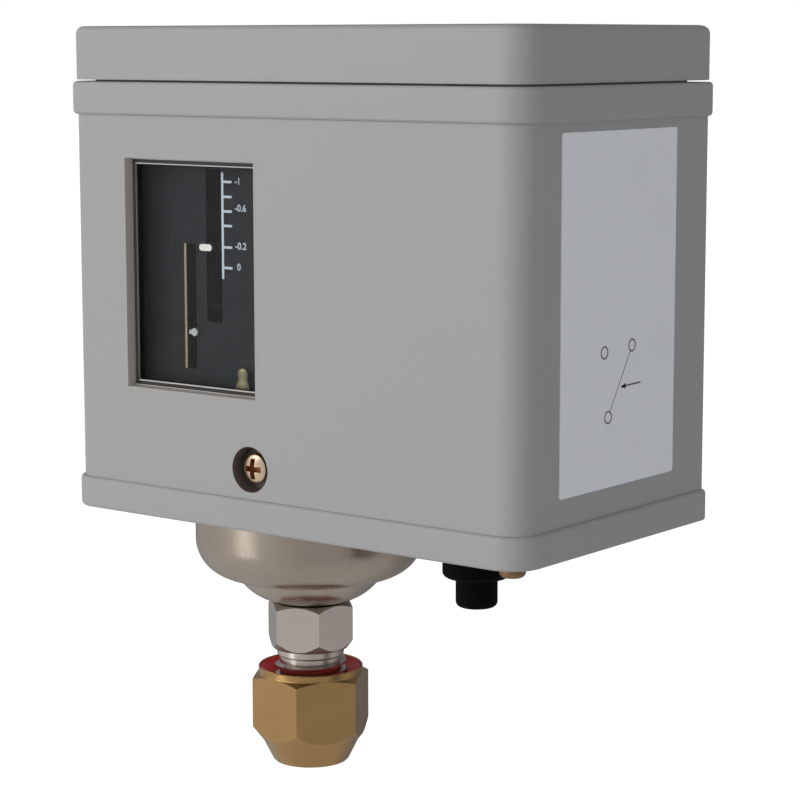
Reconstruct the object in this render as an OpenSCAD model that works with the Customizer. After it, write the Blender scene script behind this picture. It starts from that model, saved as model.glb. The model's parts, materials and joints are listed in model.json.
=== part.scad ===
// Single pressure switch for wall mounting: a steel chassis under a grey cover and cap,
// two setting spindles behind a dial window, a bellows element below, and a flare nut.
// X runs to the right, Z up, and the front faces -Y. The origin is the centre of the
// four mounting holes on the back. Heights are measured from the bottom of the box and
// moved into that frame by in_frame().

/* [Housing] */
// Width of the cover, without its raised rims
box_w = 83; // [80:1:100]
// Depth of the cover, from the wall to its front face
box_d = 47; // [45:0.5:60]
// Height of the cover, without the cap
cover_h = 64.4; // [63:0.1:80]
// Height of the cap
cap_h = 7.85; // [7:0.05:12]
// Thickness of the side walls of the cover and the cap
side_wall = 2; // [1.6:0.1:2.4]
// Thickness of the front wall of the cover
front_wall = 2.6; // [2:0.1:2.8]
// Radius of the upright front corners
corner_r = 4; // [3:0.5:6]
// Height of the raised rim at the top of the cover
top_rim_h = 4.9; // [4:0.1:6]
// How far the top rim stands out
top_rim_out = 0.75; // [0.4:0.05:1.2]
// Height of the raised rim at the bottom of the cover
low_rim_h = 4.75; // [3:0.05:5]
// How far the bottom rim stands out
low_rim_out = 0.65; // [0.2:0.05:0.8]
// How far the cap stands out past the cover's walls
cap_out = 0.15; // [0:0.05:0.8]
// Rounding of the edges of the rims
edge_r = 0.6; // [0.2:0.05:0.6]
// Rounding of the cap's upper edge
cap_edge_r = 1.1; // [0.5:0.1:1.5]
// Dark gap between the cover and the cap
cap_gap = 0.25; // [0.1:0.05:0.3]
// Depth of the cap's locating lip
lip_h = 2.5; // [1.5:0.5:4]
// Thickness of the cap's locating lip
lip_t = 1.4; // [1:0.1:2]

/* [Window] */
// Width of the window opening
window_w = 25.1; // [22:0.1:28]
// Height of the window opening
window_h = 34; // [30:0.1:36]
// Distance of the window's centre from the centre of the box
window_x = -17.3; // [-20:0.1:-16]
// Height of the window's centre
window_z = 36.3; // [34:0.1:38]
// Thickness of the clear pane
pane_t = 1; // [0.8:0.1:1.2]
// Width of the pane's flange behind the wall
pane_flange = 2.4; // [1.5:0.1:3]
// Thickness of the pane's rim inside the opening
pane_rim = 0.9; // [0.6:0.1:1.2]

/* [Chassis] */
// Thickness of the chassis steel
steel_t = 1.5; // [1.2:0.1:2]
// Height of the chassis floor above the bottom of the cover
floor_z = 1; // [0.5:0.1:2]
// Spacing of the mounting holes across the back
hole_span_x = 40; // [36:1:44]
// Spacing of the mounting holes up the back
hole_span_z = 40; // [36:1:42]
// Height of the centre of the mounting holes
mount_h = 32; // [30:1:34]
// Radius of the mounting holes, for M4 screws
mount_hole_r = 2.2; // [2.1:0.05:2.4]

/* [Setting spindles] */
// Radius of the range spindle, M6
range_r = 3; // [2.5:0.25:3]
// Height of the range pointer at rest
range_z = 40.35; // [38:0.05:46]
// Radius of the differential spindle, M5
diff_r = 2.5; // [2:0.25:2.5]
// Distance of the differential spindle from the centre of the box
diff_x = -28.5; // [-30:0.1:-27.5]
// Height of the differential pointer at rest
diff_z = 27.6; // [26:0.05:34]
// Height of the underside of the spindle bracket
bracket_z = 54.9; // [54:0.1:56]

/* [Levers] */
// Distance of the lever pivot from the centre of the box
pivot_x = -35; // [-35.5:0.1:-34]
// Height of the lever pivot
pivot_z = 12; // [11:0.5:13]
// Radius of the lever pivot pin
pivot_r = 1.5; // [1.2:0.1:1.8]
// Thickness of the lever steel
lever_t = 1.6; // [1.2:0.1:2]

/* [Bellows element] */
// Distance of the element's axis from the centre of the box
element_x = -14.3; // [-15:0.1:-13]
// Distance of the element's axis from the wall
element_y = 23.5; // [22:0.1:25]
// Outer radius of the cup
cup_r = 17.6; // [16:0.1:18]
// Thickness of the cup
cup_t = 1.2; // [1:0.1:1.5]
// Outer radius of the bellows
bellows_r = 11; // [10:0.5:12]
// Number of bellows folds
bellows_folds = 5; // [3:1:7]

/* [Connection] */
// Width across the flats of the connector's hexagon
hex_af = 12; // [11:0.5:14]
// Height of the connector's hexagon
hex_h = 7.3; // [5:0.1:8]
// Radius of the male thread, 7/16 inch
thread_r = 5.556; // [5.5:0.001:5.6]
// Turn of the connector's hexagon about its axis
hex_turn = 20.8; // [0:0.1:60]
// Width across the flats of the flare nut
nut_af = 16.3; // [15.5:0.1:17]
// Height of the flare nut
nut_h = 15.1; // [14:0.1:18]
// Turn of the flare nut about its axis, as it is tightened
nut_turn = -4; // [-30:1:30]
// Radius of the tube hole in the flare nut, for a 1/4 inch tube
tube_hole_r = 3.25; // [3.2:0.01:3.4]

/* [Cable entry] */
// Distance of the cable gland from the centre of the box
gland_x = 24.4; // [20:0.1:26]
// Distance of the cable gland from the wall
gland_y = 33; // [30:0.5:34]
// Radius of the gland's collar
gland_r = 4.9; // [4.5:0.1:6]
// Radius of the cable hole in the gland
cable_hole_r = 2.2; // [1.5:0.1:2.5]

/* [Fits] */
// Radial clearance of a spindle, pin or rod in its hole
run_gap = 0.05; // [0.02:0.01:0.08]
// Gap where one part is set into another
seat_gap = 0.2; // [0.1:0.05:0.3]

/* [Hidden] */
$fn = 48;
soft_fn = 32;
round_steps = [0, 30, 60, 90];
past = 1;

// Housing
inner_front = -box_d + front_wall;
inner_half = box_w / 2 - side_wall;
window_left = window_x - window_w / 2;
window_low = window_z - window_h / 2;
screw_x = -5.9;
screw_z = 9.1;
recess_r = 3.35;
recess_d = 3;
boss_r = 4.75;
dial_depth = 5.2;
boss_back = -box_d + dial_depth;
cover_screw_r = 1.75;
cover_head_r = 2.15;
cover_head_h = 2.6;

// Chassis
floor_top = floor_z + steel_t;
chassis_half = inner_half - seat_gap;
back_top = cover_h - top_rim_h - seat_gap;
lug_w = 12;
lug_h = 12.5;
ear_r = 3.4;
ear_t = 1.2;

// Spindles and dial
dial_t = 0.5;
dial_left_over = 2;
dial_right_over = 3;
dial_low_over = 1.5;
dial_y = -box_d + dial_depth;
dial_back = dial_y + dial_t;
range_slot_x = window_x + 0.3;
range_slot_w = 2.9;
range_slot = [window_low + 10, bracket_z - 3.2];
diff_slot_x = window_x - 4.5;
diff_slot_w = 2.25;
diff_slot = [window_low + 2.7, window_low + 21.4];
bracket_top = bracket_z + steel_t;
flange_t = 1.2;
collar_h = 1.6;
collar_out = 1.5;
spindle_top = cover_h + 1;
square_h = 5;
drive_slot_w = 1;
drive_slot_d = 1.5;
range_nut_w = 13;
range_nut_h = 5.5;
diff_nut_w = 9.4;
diff_nut_h = 5;
spindle_below = 1.2;
range_drop = 3;
diff_drop = 3;
range_tip = [2.5, 1];
range_tip_x = range_slot_x - 0.6;
range_tip_y = dial_y - 1.2;
range_stem_w = 1.6;
range_stem_x = range_slot_x - 0.4;
range_tab_w = 7;
tab_inset = 1;
diff_tip_r = 0.6;
diff_tip_x = diff_slot_x + 1.2;
diff_tip_y = dial_y - 0.6;
diff_stem_w = 0.7;
diff_stem_x = diff_slot_x + 0.55;
diff_bend_y = dial_back + 3.2;
diff_tab_w = 4;
guide_t = 0.2;
bracket_left = diff_x - 5.5;
bracket_right = element_x + 9;
bracket_leg_h = 9;
bracket_screw_x = [diff_x + 1, element_x + 4];
bracket_screw_z = bracket_top - bracket_leg_h + 3.9;
bracket_screw_r = 1.5;
bracket_head_r = 2.8;
bracket_head_h = 1.6;

// Springs
range_wire = 1.6;
range_coil_r = 5.4;
range_turns = 7;
diff_wire = 1;
diff_coil_r = 3.7;
diff_turns = 5;
coil_gap = 0.2;

// Levers
lever_w = 2 * (range_coil_r + range_wire / 2 + coil_gap + lever_t);
lever_back = -element_y - lever_w / 2;
lever_far = -element_y + lever_w / 2;
contact_gap = 0.06;
seat_h = 0.5;
seat_play = 1;
lever_low = pivot_z - lever_t / 2;
lever_top = pivot_z + lever_t / 2;
lever_gap = 0.4;
diff_lever_t = 1.2;
diff_lever_w = 10;
diff_low = lever_top + lever_gap;
diff_top = diff_low + diff_lever_t;
diff_lever_end = element_x - 8.2;
lever_end = 7;
pad_w = 7;
pad_past_pin = 3;
eye_r = 3;
cheek_reach = 36;
cheek_tip_h = 1.5;
cheek_top_over = 2.6;
floor_start = 3.2;
diff_eye_r = 2.8;
diff_floor_start = 2.2;
diff_cheek_reach = 9;
pin_head_r = pivot_r + 0.8;
pin_head_h = 0.8;

// Element
cup_top = floor_z;
cup_corner_r = 5.9;
cup_corner_z = -5.3;
nose_r = 8.6;
nose_x = 3.9;
nose_z = -6.9;
cup_low = nose_z - nose_r;
plate_low = cup_top - 1.2;
spigot_r = 10;
spigot_top = floor_top + 4.2;
ring_nut_r = 13.5;
ring_nut_h = 2.6;
bellows_top = plate_low;
bellows_low = -8.6;
bellows_wall = 0.35;
fold_depth = 2.6;
rod_r = 2;
rod_tip_r = 1.8;
rod_foot_r = 5;
rod_foot_h = 1;
foil_t = 0.6;

// Connection
hex_low = cup_low - hex_h;
hex_low_r = hex_af / 2 - 0.15;
hex_low_slope = 1.35;
hex_high_r = hex_af / 2 - 0.15;
hex_high_slope = 0.78;
port_r = 1.5;
spigot_low_r = 4;
neck_r = 5.2;
neck_h = 1;
thread_low = hex_low - 11;
tip_r = 3.4;
tip_low = thread_low - (thread_r - tip_r);
nut_top = hex_low - 2.9;
nut_low = nut_top - nut_h;
nut_ring_r = nut_af / 2 - 0.05;
nut_ring_h = 1.05;
nut_shoulder_slope = 0.5;
nut_neck_r = nut_af / 2 - 0.7;
nut_neck_h = 3.3;
nut_cone_slope = 1.3;
nut_end_r = nut_neck_r - 1.5;
nut_end_h = 0.3;
thread_gap = 0.06;
flare_t = 0.5;
seal_wall = 0.25;
seal_inner_r = thread_r + 2 * run_gap;
seal_outer_r = nut_ring_r - seal_wall - run_gap;
seal_top = nut_top - 0.1;
seal_dish = 1.2;
seal_low = nut_top - 2.1;

// Cable gland
collar_low = -5;
nozzle_low = -9.3;
nozzle_r = 3;
gland_neck_r = 3.9;
gland_flange_h = 1.8;

// Earth screw
earth_x = chassis_half - 4.4;
earth_y = box_d - 7.8;
earth_washer_r = 3.8;
earth_washer_h = 0.7;
earth_head_r = 3.5;
earth_head_h = 2.8;
earth_r = 1.9;
earth_low = -2.6;

// Switch
join = 0.3;
block_left = 12;
block_low = 15;
block_high = 53;
block_screw_x = block_left + 3;
block_screw_z = [block_low + 6, block_high - 4];
block_screw_r = 1.5;
block_head_r = 2.6;
block_head_h = 1.6;
block_right = chassis_half - 3;
block_front = -8;
block_back = -steel_t - 1.5;
foot_r = 3.5;
guide_half_w = 3.5;
guide_half_d = 3;
hole_depth = 3;
rib_front = -20;
rib_left = 17;
rib_t = 1.5;
bay_pitch = (block_high - block_low - rib_t) / 3;
bay_z = [for (i = [0:2]) block_low + rib_t / 2 + bay_pitch * (i + 0.5)];
strip_t = 1;
strip_front = block_front - strip_t;
tab_w = 8;
term_screw_x = 27;
term_head_r = 3.4;
term_head_h = 2.4;
term_screw_r = 1.7;
arm_pivot_x = 15;
arm_z = 30;
arm_t = 1.2;
arm_reach = 17;
arm_w = 3;
arm_back = strip_front - 0.2;
arm_front = arm_back - arm_w;
arm_pin_r = 1;
arm_pin_head_h = 0.8;
screw_reach = hole_depth - 0.5;
knuckle_r = 2;
eye_half = 2.2;
strip_w = 3.5;
lower_strip_w = 3;
strip_lap = 1;
tab_half = 2.2;
arm_angle = 10;
button_r = 1.5;
button_h = 1;
contact_clear = 0.15;
push_x = 4;
push_r = 1.5;
push_y = (arm_back + arm_front) / 2;
guide_low = 18;
guide_high = 22;
arm_low = arm_z - arm_t / 2;
arm_high = arm_z + arm_t / 2;
tip_x = arm_pivot_x - arm_reach;
upper_button = arm_high + button_h + arm_reach * sin(arm_angle)
    + button_r * sin(arm_angle) + contact_clear;
lower_button = arm_low - button_h - contact_clear;

// Moves a part from heights above the bottom of the box into the part's frame
module in_frame() {
    translate([0, 0, -mount_h]) children();
}

// Puts a revolved part on the element's axis
module on_element() {
    translate([element_x, -element_y, 0]) children();
}

// A plate seen from the front: its outline in X and Z, from y0 forwards by t
module upright(y0, t) {
    translate([0, y0, 0]) rotate([90, 0, 0]) linear_extrude(t) children();
}

// A straight pin along Y, from y0 forwards by length
module cross_pin(x, z, r, y0, length) {
    translate([x, y0, z]) rotate([90, 0, 0]) cylinder(r = r, h = length);
}

// The plan of the box grown by a margin: round front corners, square at the wall
module plan(grow, back = 0) {
    half = box_w / 2 + grow;
    front = -box_d - grow;
    r = corner_r + grow;
    translate([-half, front + r]) square([2 * half, back - front - r]);
    translate([-half + r, front]) square([2 * (half - r), back - front]);
    for (side = [-1, 1]) translate([side * (half - r), front + r]) circle(r);
}

// The space inside the walls, with its back at the given Y
module inside_plan(back, gap = 0) {
    half = inner_half - gap;
    r = max(corner_r - side_wall - gap, 0.2);
    front = inner_front + gap;
    translate([-half, front + r]) square([2 * half, back - front - r]);
    translate([-half + r, front]) square([2 * (half - r), back - front]);
    for (side = [-1, 1]) translate([side * (half - r), front + r]) circle(r);
}

// A raised band round the box whose outer edges are rounded
module band(z0, h, grow) {
    hull() for (a = round_steps)
        translate([0, 0, z0 + edge_r * (1 - sin(a))])
            linear_extrude(h - 2 * edge_r * (1 - sin(a)))
            plan(grow - edge_r * (1 - cos(a)), $fn = soft_fn);
}

// A hexagonal prism with a turned end at each radius and slope
module turned_hex(af, z0, h, low_r, low_slope, high_r, high_slope) {
    corner = af / sqrt(3);
    out = corner + past;
    intersection() {
        translate([0, 0, z0]) cylinder(r = corner, h = h, $fn = 6);
        rotate_extrude() polygon([
            [0, z0], [low_r, z0], [out, z0 + (out - low_r) * low_slope],
            [out, z0 + h - (out - high_r) * high_slope], [high_r, z0 + h], [0, z0 + h]
        ]);
    }
}

// A screw head with a cross recess, its top at z = 0 and facing up
module cross_head(r, h) {
    recess = r * 1.4;
    slot = r * 0.38;
    difference() {
        translate([0, 0, -h]) intersection() {
            cylinder(r = r, h = h);
            translate([0, 0, h - 2 * r]) sphere(r = 2 * r);
        }
        for (turn = [0, 90]) rotate([0, 0, turn])
            translate([-recess / 2, -slot / 2, -h * 0.6]) cube([recess, slot, h]);
    }
}

// Height of a spring's wire after a number of turns: closed ends, even between them
function coil_rise(turn, turns, wire, length) =
    turn < 1 ? turn * wire :
    turn > turns - 1 ? length - wire - (turns - turn) * wire :
    wire + (turn - 1) * (length - 3 * wire) / (turns - 2);

// A round-wire compression spring standing on z = 0
module coil_spring(mean_r, wire, length, turns) {
    steps = 14;
    sides = 8;
    count = turns * steps;
    rings = [for (i = [0:count], k = [0:sides - 1])
        let (a = 360 * i / steps, b = 360 * k / sides,
             r = mean_r + wire / 2 * cos(b),
             z = wire / 2 + coil_rise(i / steps, turns, wire * 1.02, length))
        [r * cos(a), r * sin(a), z + wire / 2 * sin(b)]];
    walls = [for (i = [0:count - 1], k = [0:sides - 1], half = [0, 1])
        let (a = i * sides + k, b = i * sides + (k + 1) % sides,
             c = a + sides, d = b + sides)
        half == 0 ? [a, c, b] : [b, c, d]];
    ends = [[for (k = [0:sides - 1]) k],
            [for (k = [sides - 1:-1:0]) count * sides + k]];
    polyhedron(points = rings, faces = concat(walls, ends));
}

// Galvanised frame: back plate, floor, screw lug and the two ears of the lever pin
module chassis() {
    in_frame() color("lightsteelblue") difference() {
        union() {
            translate([-chassis_half, -steel_t, floor_z])
                cube([2 * chassis_half, steel_t, back_top - floor_z]);
            translate([0, 0, floor_z]) linear_extrude(steel_t) inside_plan(0, seat_gap);
            translate([screw_x - lug_w / 2, boss_back, floor_z])
                cube([lug_w, steel_t, lug_h]);
            for (y = [lever_back - seat_gap, lever_far + seat_gap + ear_t])
                upright(y, ear_t) ear_outline();
        }
        on_element() translate([0, 0, floor_z - past])
            cylinder(r = spigot_r + seat_gap / 2, h = steel_t + 2 * past);
        translate([gland_x, -gland_y, floor_z - past])
            cylinder(r = gland_neck_r, h = steel_t + 2 * past);
        translate([earth_x, -earth_y, floor_z - past])
            cylinder(r = earth_r + run_gap, h = steel_t + 2 * past);
        cross_pin(screw_x, screw_z, cover_screw_r + run_gap, boss_back + steel_t + past,
            steel_t + 2 * past);
        for (x = [-1, 1], z = [-1, 1])
            cross_pin(x * hole_span_x / 2, mount_h + z * hole_span_z / 2,
                mount_hole_r, past, steel_t + 2 * past);
        cross_pin(pivot_x, pivot_z, pivot_r + run_gap, lever_far + 2 * ear_t + past,
            lever_w + 4 * ear_t + 2 * past);
    }
}

// One upright ear of the chassis, seen from the front
module ear_outline() {
    translate([pivot_x - ear_r, floor_z]) square([2 * ear_r, pivot_z - floor_z]);
    translate([pivot_x, pivot_z]) circle(ear_r);
}

// Grey cover: front and side walls, raised rims, window opening and screw recess
module front_cover() {
    in_frame() color("darkgray") difference() {
        union() {
            difference() {
                union() {
                    linear_extrude(cover_h) plan(0);
                    band(cover_h - top_rim_h, top_rim_h, top_rim_out);
                    band(0, low_rim_h, low_rim_out);
                }
                translate([0, 0, -past])
                    linear_extrude(cover_h - top_rim_h + past) inside_plan(past);
                linear_extrude(cover_h + past) inside_plan(-side_wall);
            }
            cross_pin(screw_x, screw_z, boss_r, boss_back, box_d + boss_back - past);
        }
        translate([window_left, -box_d - past, window_low])
            cube([window_w, front_wall + 2 * past, window_h]);
        cross_pin(screw_x, screw_z, recess_r, -box_d + recess_d, recess_d + past);
        cross_pin(screw_x, screw_z, cover_screw_r + run_gap, boss_back + past, box_d);
    }
}

// Grey cap over the setting spindles, with a lip that locates it inside the cover
module top_cap() {
    low = cover_h + cap_gap;
    in_frame() color("darkgray") union() {
        difference() {
            hull() for (a = round_steps)
                translate([0, 0, low]) linear_extrude(cap_h - cap_edge_r * (1 - sin(a)))
                    plan(cap_out - cap_edge_r * (1 - cos(a)),
                        -cap_edge_r * (1 - cos(a)), $fn = soft_fn);
            translate([0, 0, low - past])
                linear_extrude(cap_h - side_wall + past)
                inside_plan(-side_wall, seat_gap + lip_t);
        }
        translate([0, 0, low - lip_h]) linear_extrude(lip_h + past) difference() {
            inside_plan(-side_wall - seat_gap, seat_gap);
            inside_plan(-side_wall - seat_gap - lip_t, seat_gap + lip_t);
        }
    }
}

// Clear pane: a flange behind the wall and a rim that lines the opening
module window_pane() {
    in_frame() color("white", 0.3) union() {
        translate([window_left - pane_flange, inner_front, window_low - pane_flange])
            cube([window_w + 2 * pane_flange, pane_t, window_h + 2 * pane_flange]);
        difference() {
            translate([window_left + seat_gap, -box_d + seat_gap, window_low + seat_gap])
                cube([window_w - 2 * seat_gap, front_wall, window_h - 2 * seat_gap]);
            translate([window_left + pane_rim, -box_d - past, window_low + pane_rim])
                cube([window_w - 2 * pane_rim, front_wall + past,
                    window_h - 2 * pane_rim]);
        }
    }
}

// Brass screw in the recess, which holds the cover to the chassis lug
module cover_screw() {
    head_y = -box_d + recess_d - cover_head_h;
    in_frame() color("goldenrod") union() {
        translate([screw_x, head_y, screw_z]) rotate([90, 0, 0])
            cross_head(cover_head_r, cover_head_h);
        cross_pin(screw_x, screw_z, cover_screw_r, boss_back + steel_t + past,
            boss_back + steel_t + past - head_y - cover_head_h);
    }
}

// Rubber gland in the floor of the chassis, bored for the cable
module cable_gland() {
    in_frame() translate([gland_x, -gland_y, 0]) color("dimgray") difference() {
        union() {
            translate([0, 0, nozzle_low]) rounded_post(nozzle_r, collar_low - nozzle_low + past);
            translate([0, 0, collar_low]) rounded_post(gland_r, floor_z - collar_low);
            cylinder(r = gland_neck_r - run_gap, h = floor_top + past);
            translate([0, 0, floor_top]) cylinder(r = gland_r, h = gland_flange_h);
        }
        translate([0, 0, nozzle_low - past])
            cylinder(r = cable_hole_r, h = floor_top + gland_flange_h - nozzle_low + 2 * past);
    }
}

// A post whose lower edge is rounded
module rounded_post(r, h) {
    round_r = 0.8;
    rotate_extrude() union() {
        translate([0, round_r]) square([r, h - round_r]);
        square([r - round_r, h]);
        translate([r - round_r, round_r]) circle(round_r);
    }
}

// Earth screw: its head inside, and its end through the floor
module earth_screw() {
    seat = floor_top + earth_washer_h;
    in_frame() translate([earth_x, -earth_y, 0]) color("peru") union() {
        translate([0, 0, seat + earth_head_h]) cross_head(earth_head_r, earth_head_h);
        translate([0, 0, earth_low]) rounded_post(earth_r, seat + join - earth_low);
    }
}

// Washer under the head of the earth screw
module earth_washer() {
    in_frame() translate([earth_x, -earth_y, floor_top]) color("peru") difference() {
        cylinder(r = earth_washer_r, h = earth_washer_h);
        translate([0, 0, -past])
            cylinder(r = earth_r + run_gap, h = earth_washer_h + 2 * past);
    }
}

// Steel bracket on the back plate that carries both spindles and the dial
module spindle_bracket() {
    width = bracket_right - bracket_left;
    in_frame() color("lightsteelblue") difference() {
        union() {
            translate([bracket_left, dial_back, bracket_z])
                cube([width, -dial_back - steel_t, steel_t]);
            translate([bracket_left, -2 * steel_t, bracket_top - bracket_leg_h])
                cube([width, steel_t, bracket_leg_h]);
            translate([bracket_left, dial_back, range_slot[1] + past])
                cube([width, flange_t, bracket_top - range_slot[1] - past]);
        }
        on_element() translate([0, 0, bracket_z - past])
            cylinder(r = range_r + run_gap, h = steel_t + 2 * past);
        translate([diff_x, -element_y, bracket_z - past])
            cylinder(r = diff_r + run_gap, h = steel_t + 2 * past);
        for (x = bracket_screw_x) cross_pin(x, bracket_screw_z,
            bracket_screw_r + run_gap, -steel_t + past, steel_t + 2 * past);
    }
}

// Two screws through the bracket's leg
module bracket_screws() {
    in_frame() color("silver") for (x = bracket_screw_x) union() {
        translate([x, -2 * steel_t - bracket_head_h, bracket_screw_z]) rotate([90, 0, 0])
            cross_head(bracket_head_r, bracket_head_h);
        cross_pin(x, bracket_screw_z, bracket_screw_r, -steel_t, steel_t + past);
    }
}

// Dark dial plate with one slot for each pointer
module scale_plate() {
    in_frame() color([0.17, 0.19, 0.2]) upright(dial_back, dial_t) difference() {
        translate([window_left - dial_left_over, window_low - dial_low_over])
            square([window_w + dial_left_over + dial_right_over,
                bracket_top - window_low + dial_low_over]);
        slot_outline(range_slot_x, range_slot_w, range_slot);
        slot_outline(diff_slot_x, diff_slot_w, diff_slot);
    }
}

// An upright slot between two heights
module slot_outline(x, w, span) {
    translate([x - w / 2, span[0]]) square([w, span[1] - span[0]]);
}

// Brass strip that lines the left edge of the differential slot
module pointer_guide() {
    in_frame() color("goldenrod")
        translate([diff_slot_x - diff_slot_w / 2, dial_y, diff_slot[0]])
        cube([guide_t, dial_t, diff_slot[1] - diff_slot[0]]);
}

// A setting spindle: threaded shank, collar under the bracket and a slotted square
module spindle(r, low) {
    side = r * sqrt(2) - 0.1;
    difference() {
        union() {
            translate([0, 0, low]) cylinder(r = r, h = spindle_top - square_h - low);
            translate([0, 0, bracket_z - collar_h - run_gap])
                cylinder(r = r + collar_out, h = collar_h);
            translate([-side / 2, -side / 2, spindle_top - square_h - past])
                cube([side, side, square_h + past]);
        }
        translate([-r, -drive_slot_w / 2, spindle_top - drive_slot_d])
            cube([2 * r, drive_slot_w, drive_slot_d + past]);
    }
}

// Range spindle above the bellows
module range_spindle() {
    in_frame() on_element() color("silver")
        spindle(range_r, range_z - range_nut_h / 2 - range_drop - spindle_below);
}

// Differential spindle beside it
module diff_spindle() {
    in_frame() translate([diff_x, -element_y, 0]) color("silver")
        spindle(diff_r, diff_z - diff_nut_h / 2 - diff_drop - spindle_below);
}

// A spindle nut: a square block with turned corners and a spring seat below
module spindle_nut(w, h, bore) {
    seat = 1;
    difference() {
        intersection() {
            translate([-w / 2, -w / 2, -h / 2]) cube([w, w, h]);
            translate([0, 0, -h / 2]) cylinder(r = w * 0.6, h = h);
        }
        translate([0, 0, -h / 2 - past]) cylinder(r = bore, h = h + 2 * past);
        translate([0, 0, -h / 2 - past]) cylinder(r = bore + seat, h = seat + past);
    }
}

// Nut that rides up and down the range spindle
module range_nut() {
    in_frame() on_element() translate([0, 0, range_z]) color("goldenrod")
        spindle_nut(range_nut_w, range_nut_h, range_r + run_gap);
}

// Nut that rides up and down the differential spindle
module diff_nut() {
    in_frame() translate([diff_x, -element_y, diff_z]) color("goldenrod")
        spindle_nut(diff_nut_w, diff_nut_h, diff_r + run_gap);
}

// Range pointer: a tab on the nut, a stem through the slot and a pale oval tip
module range_pointer() {
    nut_face = -element_y - range_nut_w / 2;
    tip_r = range_tip[1] / 2;
    tip_back = dial_y - seat_gap;
    in_frame() color("white") translate([0, 0, range_z]) union() {
        translate([range_stem_x - range_stem_w / 2, range_tip_y, -tip_r])
            cube([range_stem_w, nut_face - range_tip_y, 2 * tip_r]);
        translate([range_tip_x - range_tip[0] / 2 + tip_r, range_tip_y, -tip_r])
            cube([range_tip[0] - 2 * tip_r, tip_back - range_tip_y, 2 * tip_r]);
        for (side = [-1, 1])
            cross_pin(range_tip_x + side * (range_tip[0] / 2 - tip_r), 0, tip_r,
                tip_back, tip_back - range_tip_y);
        translate([range_stem_x - range_stem_w, nut_face - flange_t,
                -range_nut_h / 2 + tab_inset])
            cube([range_tab_w, flange_t, range_nut_h - 2 * tab_inset]);
    }
}

// Differential pointer: a tab on the nut and a cranked stem through the narrow slot
module diff_pointer() {
    nut_face = -element_y - diff_nut_w / 2;
    tip_back = dial_y - seat_gap;
    in_frame() color("white") translate([0, 0, diff_z]) union() {
        translate([0, 0, -diff_stem_w / 2]) linear_extrude(diff_stem_w) union() {
            translate([diff_x, diff_bend_y])
                square([diff_stem_w, nut_face - diff_bend_y]);
            translate([diff_x, diff_bend_y])
                square([diff_stem_x + diff_stem_w / 2 - diff_x, diff_stem_w]);
            translate([diff_stem_x - diff_stem_w / 2, diff_tip_y])
                square([diff_stem_w, diff_bend_y - diff_tip_y + diff_stem_w / 2]);
        }
        cross_pin(diff_tip_x, 0, diff_tip_r, tip_back, tip_back - diff_tip_y);
        translate([diff_x - diff_tab_w / 2, nut_face - flange_t,
                -diff_nut_h / 2 + tab_inset])
            cube([diff_tab_w, flange_t, diff_nut_h - 2 * tab_inset]);
    }
}

// Main spring between the range nut and the main lever
module range_spring() {
    low = lever_top + seat_h;
    in_frame() on_element() translate([0, 0, low]) color("gray")
        coil_spring(range_coil_r, range_wire, range_z - range_nut_h / 2 - low, range_turns);
}

// Differential spring between its nut and the differential lever
module diff_spring() {
    in_frame() translate([diff_x, -element_y, diff_top]) color("gray")
        coil_spring(diff_coil_r, diff_wire, diff_z - diff_nut_h / 2 - diff_top, diff_turns);
}

// Pin across the chassis ears that both levers turn on
module lever_pin() {
    front = lever_back - seat_gap - ear_t;
    back = lever_far + seat_gap + ear_t + pin_head_h;
    in_frame() color("silver") union() {
        cross_pin(pivot_x, pivot_z, pivot_r, back, back - front + pin_head_h);
        for (y = [front, back]) cross_pin(pivot_x, pivot_z, pin_head_r, y, pin_head_h);
    }
}

// The main lever's cheek seen from the front: an eye round the pin and a tapering arm
module cheek_outline() {
    knee_x = pivot_x + cheek_reach * 0.4;
    difference() {
        union() {
            translate([pivot_x, pivot_z]) circle(eye_r);
            polygon([[pivot_x, lever_low], [pivot_x + cheek_reach, lever_low],
                [pivot_x + cheek_reach, lever_low + cheek_tip_h],
                [knee_x, lever_top + cheek_top_over], [pivot_x, pivot_z + eye_r]]);
        }
        translate([pivot_x, pivot_z]) circle(pivot_r + run_gap);
    }
}

// Main lever: a pressed channel from the pin to the push pin, with a spring seat
module main_lever() {
    in_frame() color("silver") union() {
        translate([pivot_x + floor_start, lever_back, lever_low])
            cube([lever_end - pivot_x - floor_start, lever_w, lever_t]);
        translate([lever_end - pad_w, lever_back, lever_low])
            cube([pad_w, push_y + pad_past_pin - lever_back, lever_t]);
        for (y = [lever_back + lever_t, lever_far]) upright(y, lever_t) cheek_outline();
        on_element() translate([0, 0, lever_low])
            cylinder(r = range_coil_r + range_wire / 2, h = lever_t + seat_h);
        on_element() translate([0, 0, lever_low])
            cylinder(r = range_coil_r - range_wire / 2 - seat_play, h = lever_t + 3 * seat_h);
    }
}

// Differential lever above it on the same pin
module diff_lever() {
    low_y = -element_y - diff_lever_w / 2;
    in_frame() color("silver") union() {
        translate([pivot_x + diff_floor_start, low_y, diff_low])
            cube([diff_lever_end - pivot_x - diff_floor_start, diff_lever_w, diff_lever_t]);
        for (y = [low_y + diff_lever_t, low_y + diff_lever_w]) upright(y, diff_lever_t)
            difference() {
                union() {
                    translate([pivot_x, pivot_z]) circle(diff_eye_r);
                    polygon([[pivot_x, pivot_z + diff_eye_r],
                        [pivot_x + diff_floor_start, diff_top],
                        [pivot_x + diff_cheek_reach, diff_top],
                        [pivot_x + diff_cheek_reach, diff_low],
                        [pivot_x + diff_floor_start, diff_low], [pivot_x, pivot_z]]);
                }
                translate([pivot_x, pivot_z]) circle(pivot_r + run_gap);
            }
    }
}

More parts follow.
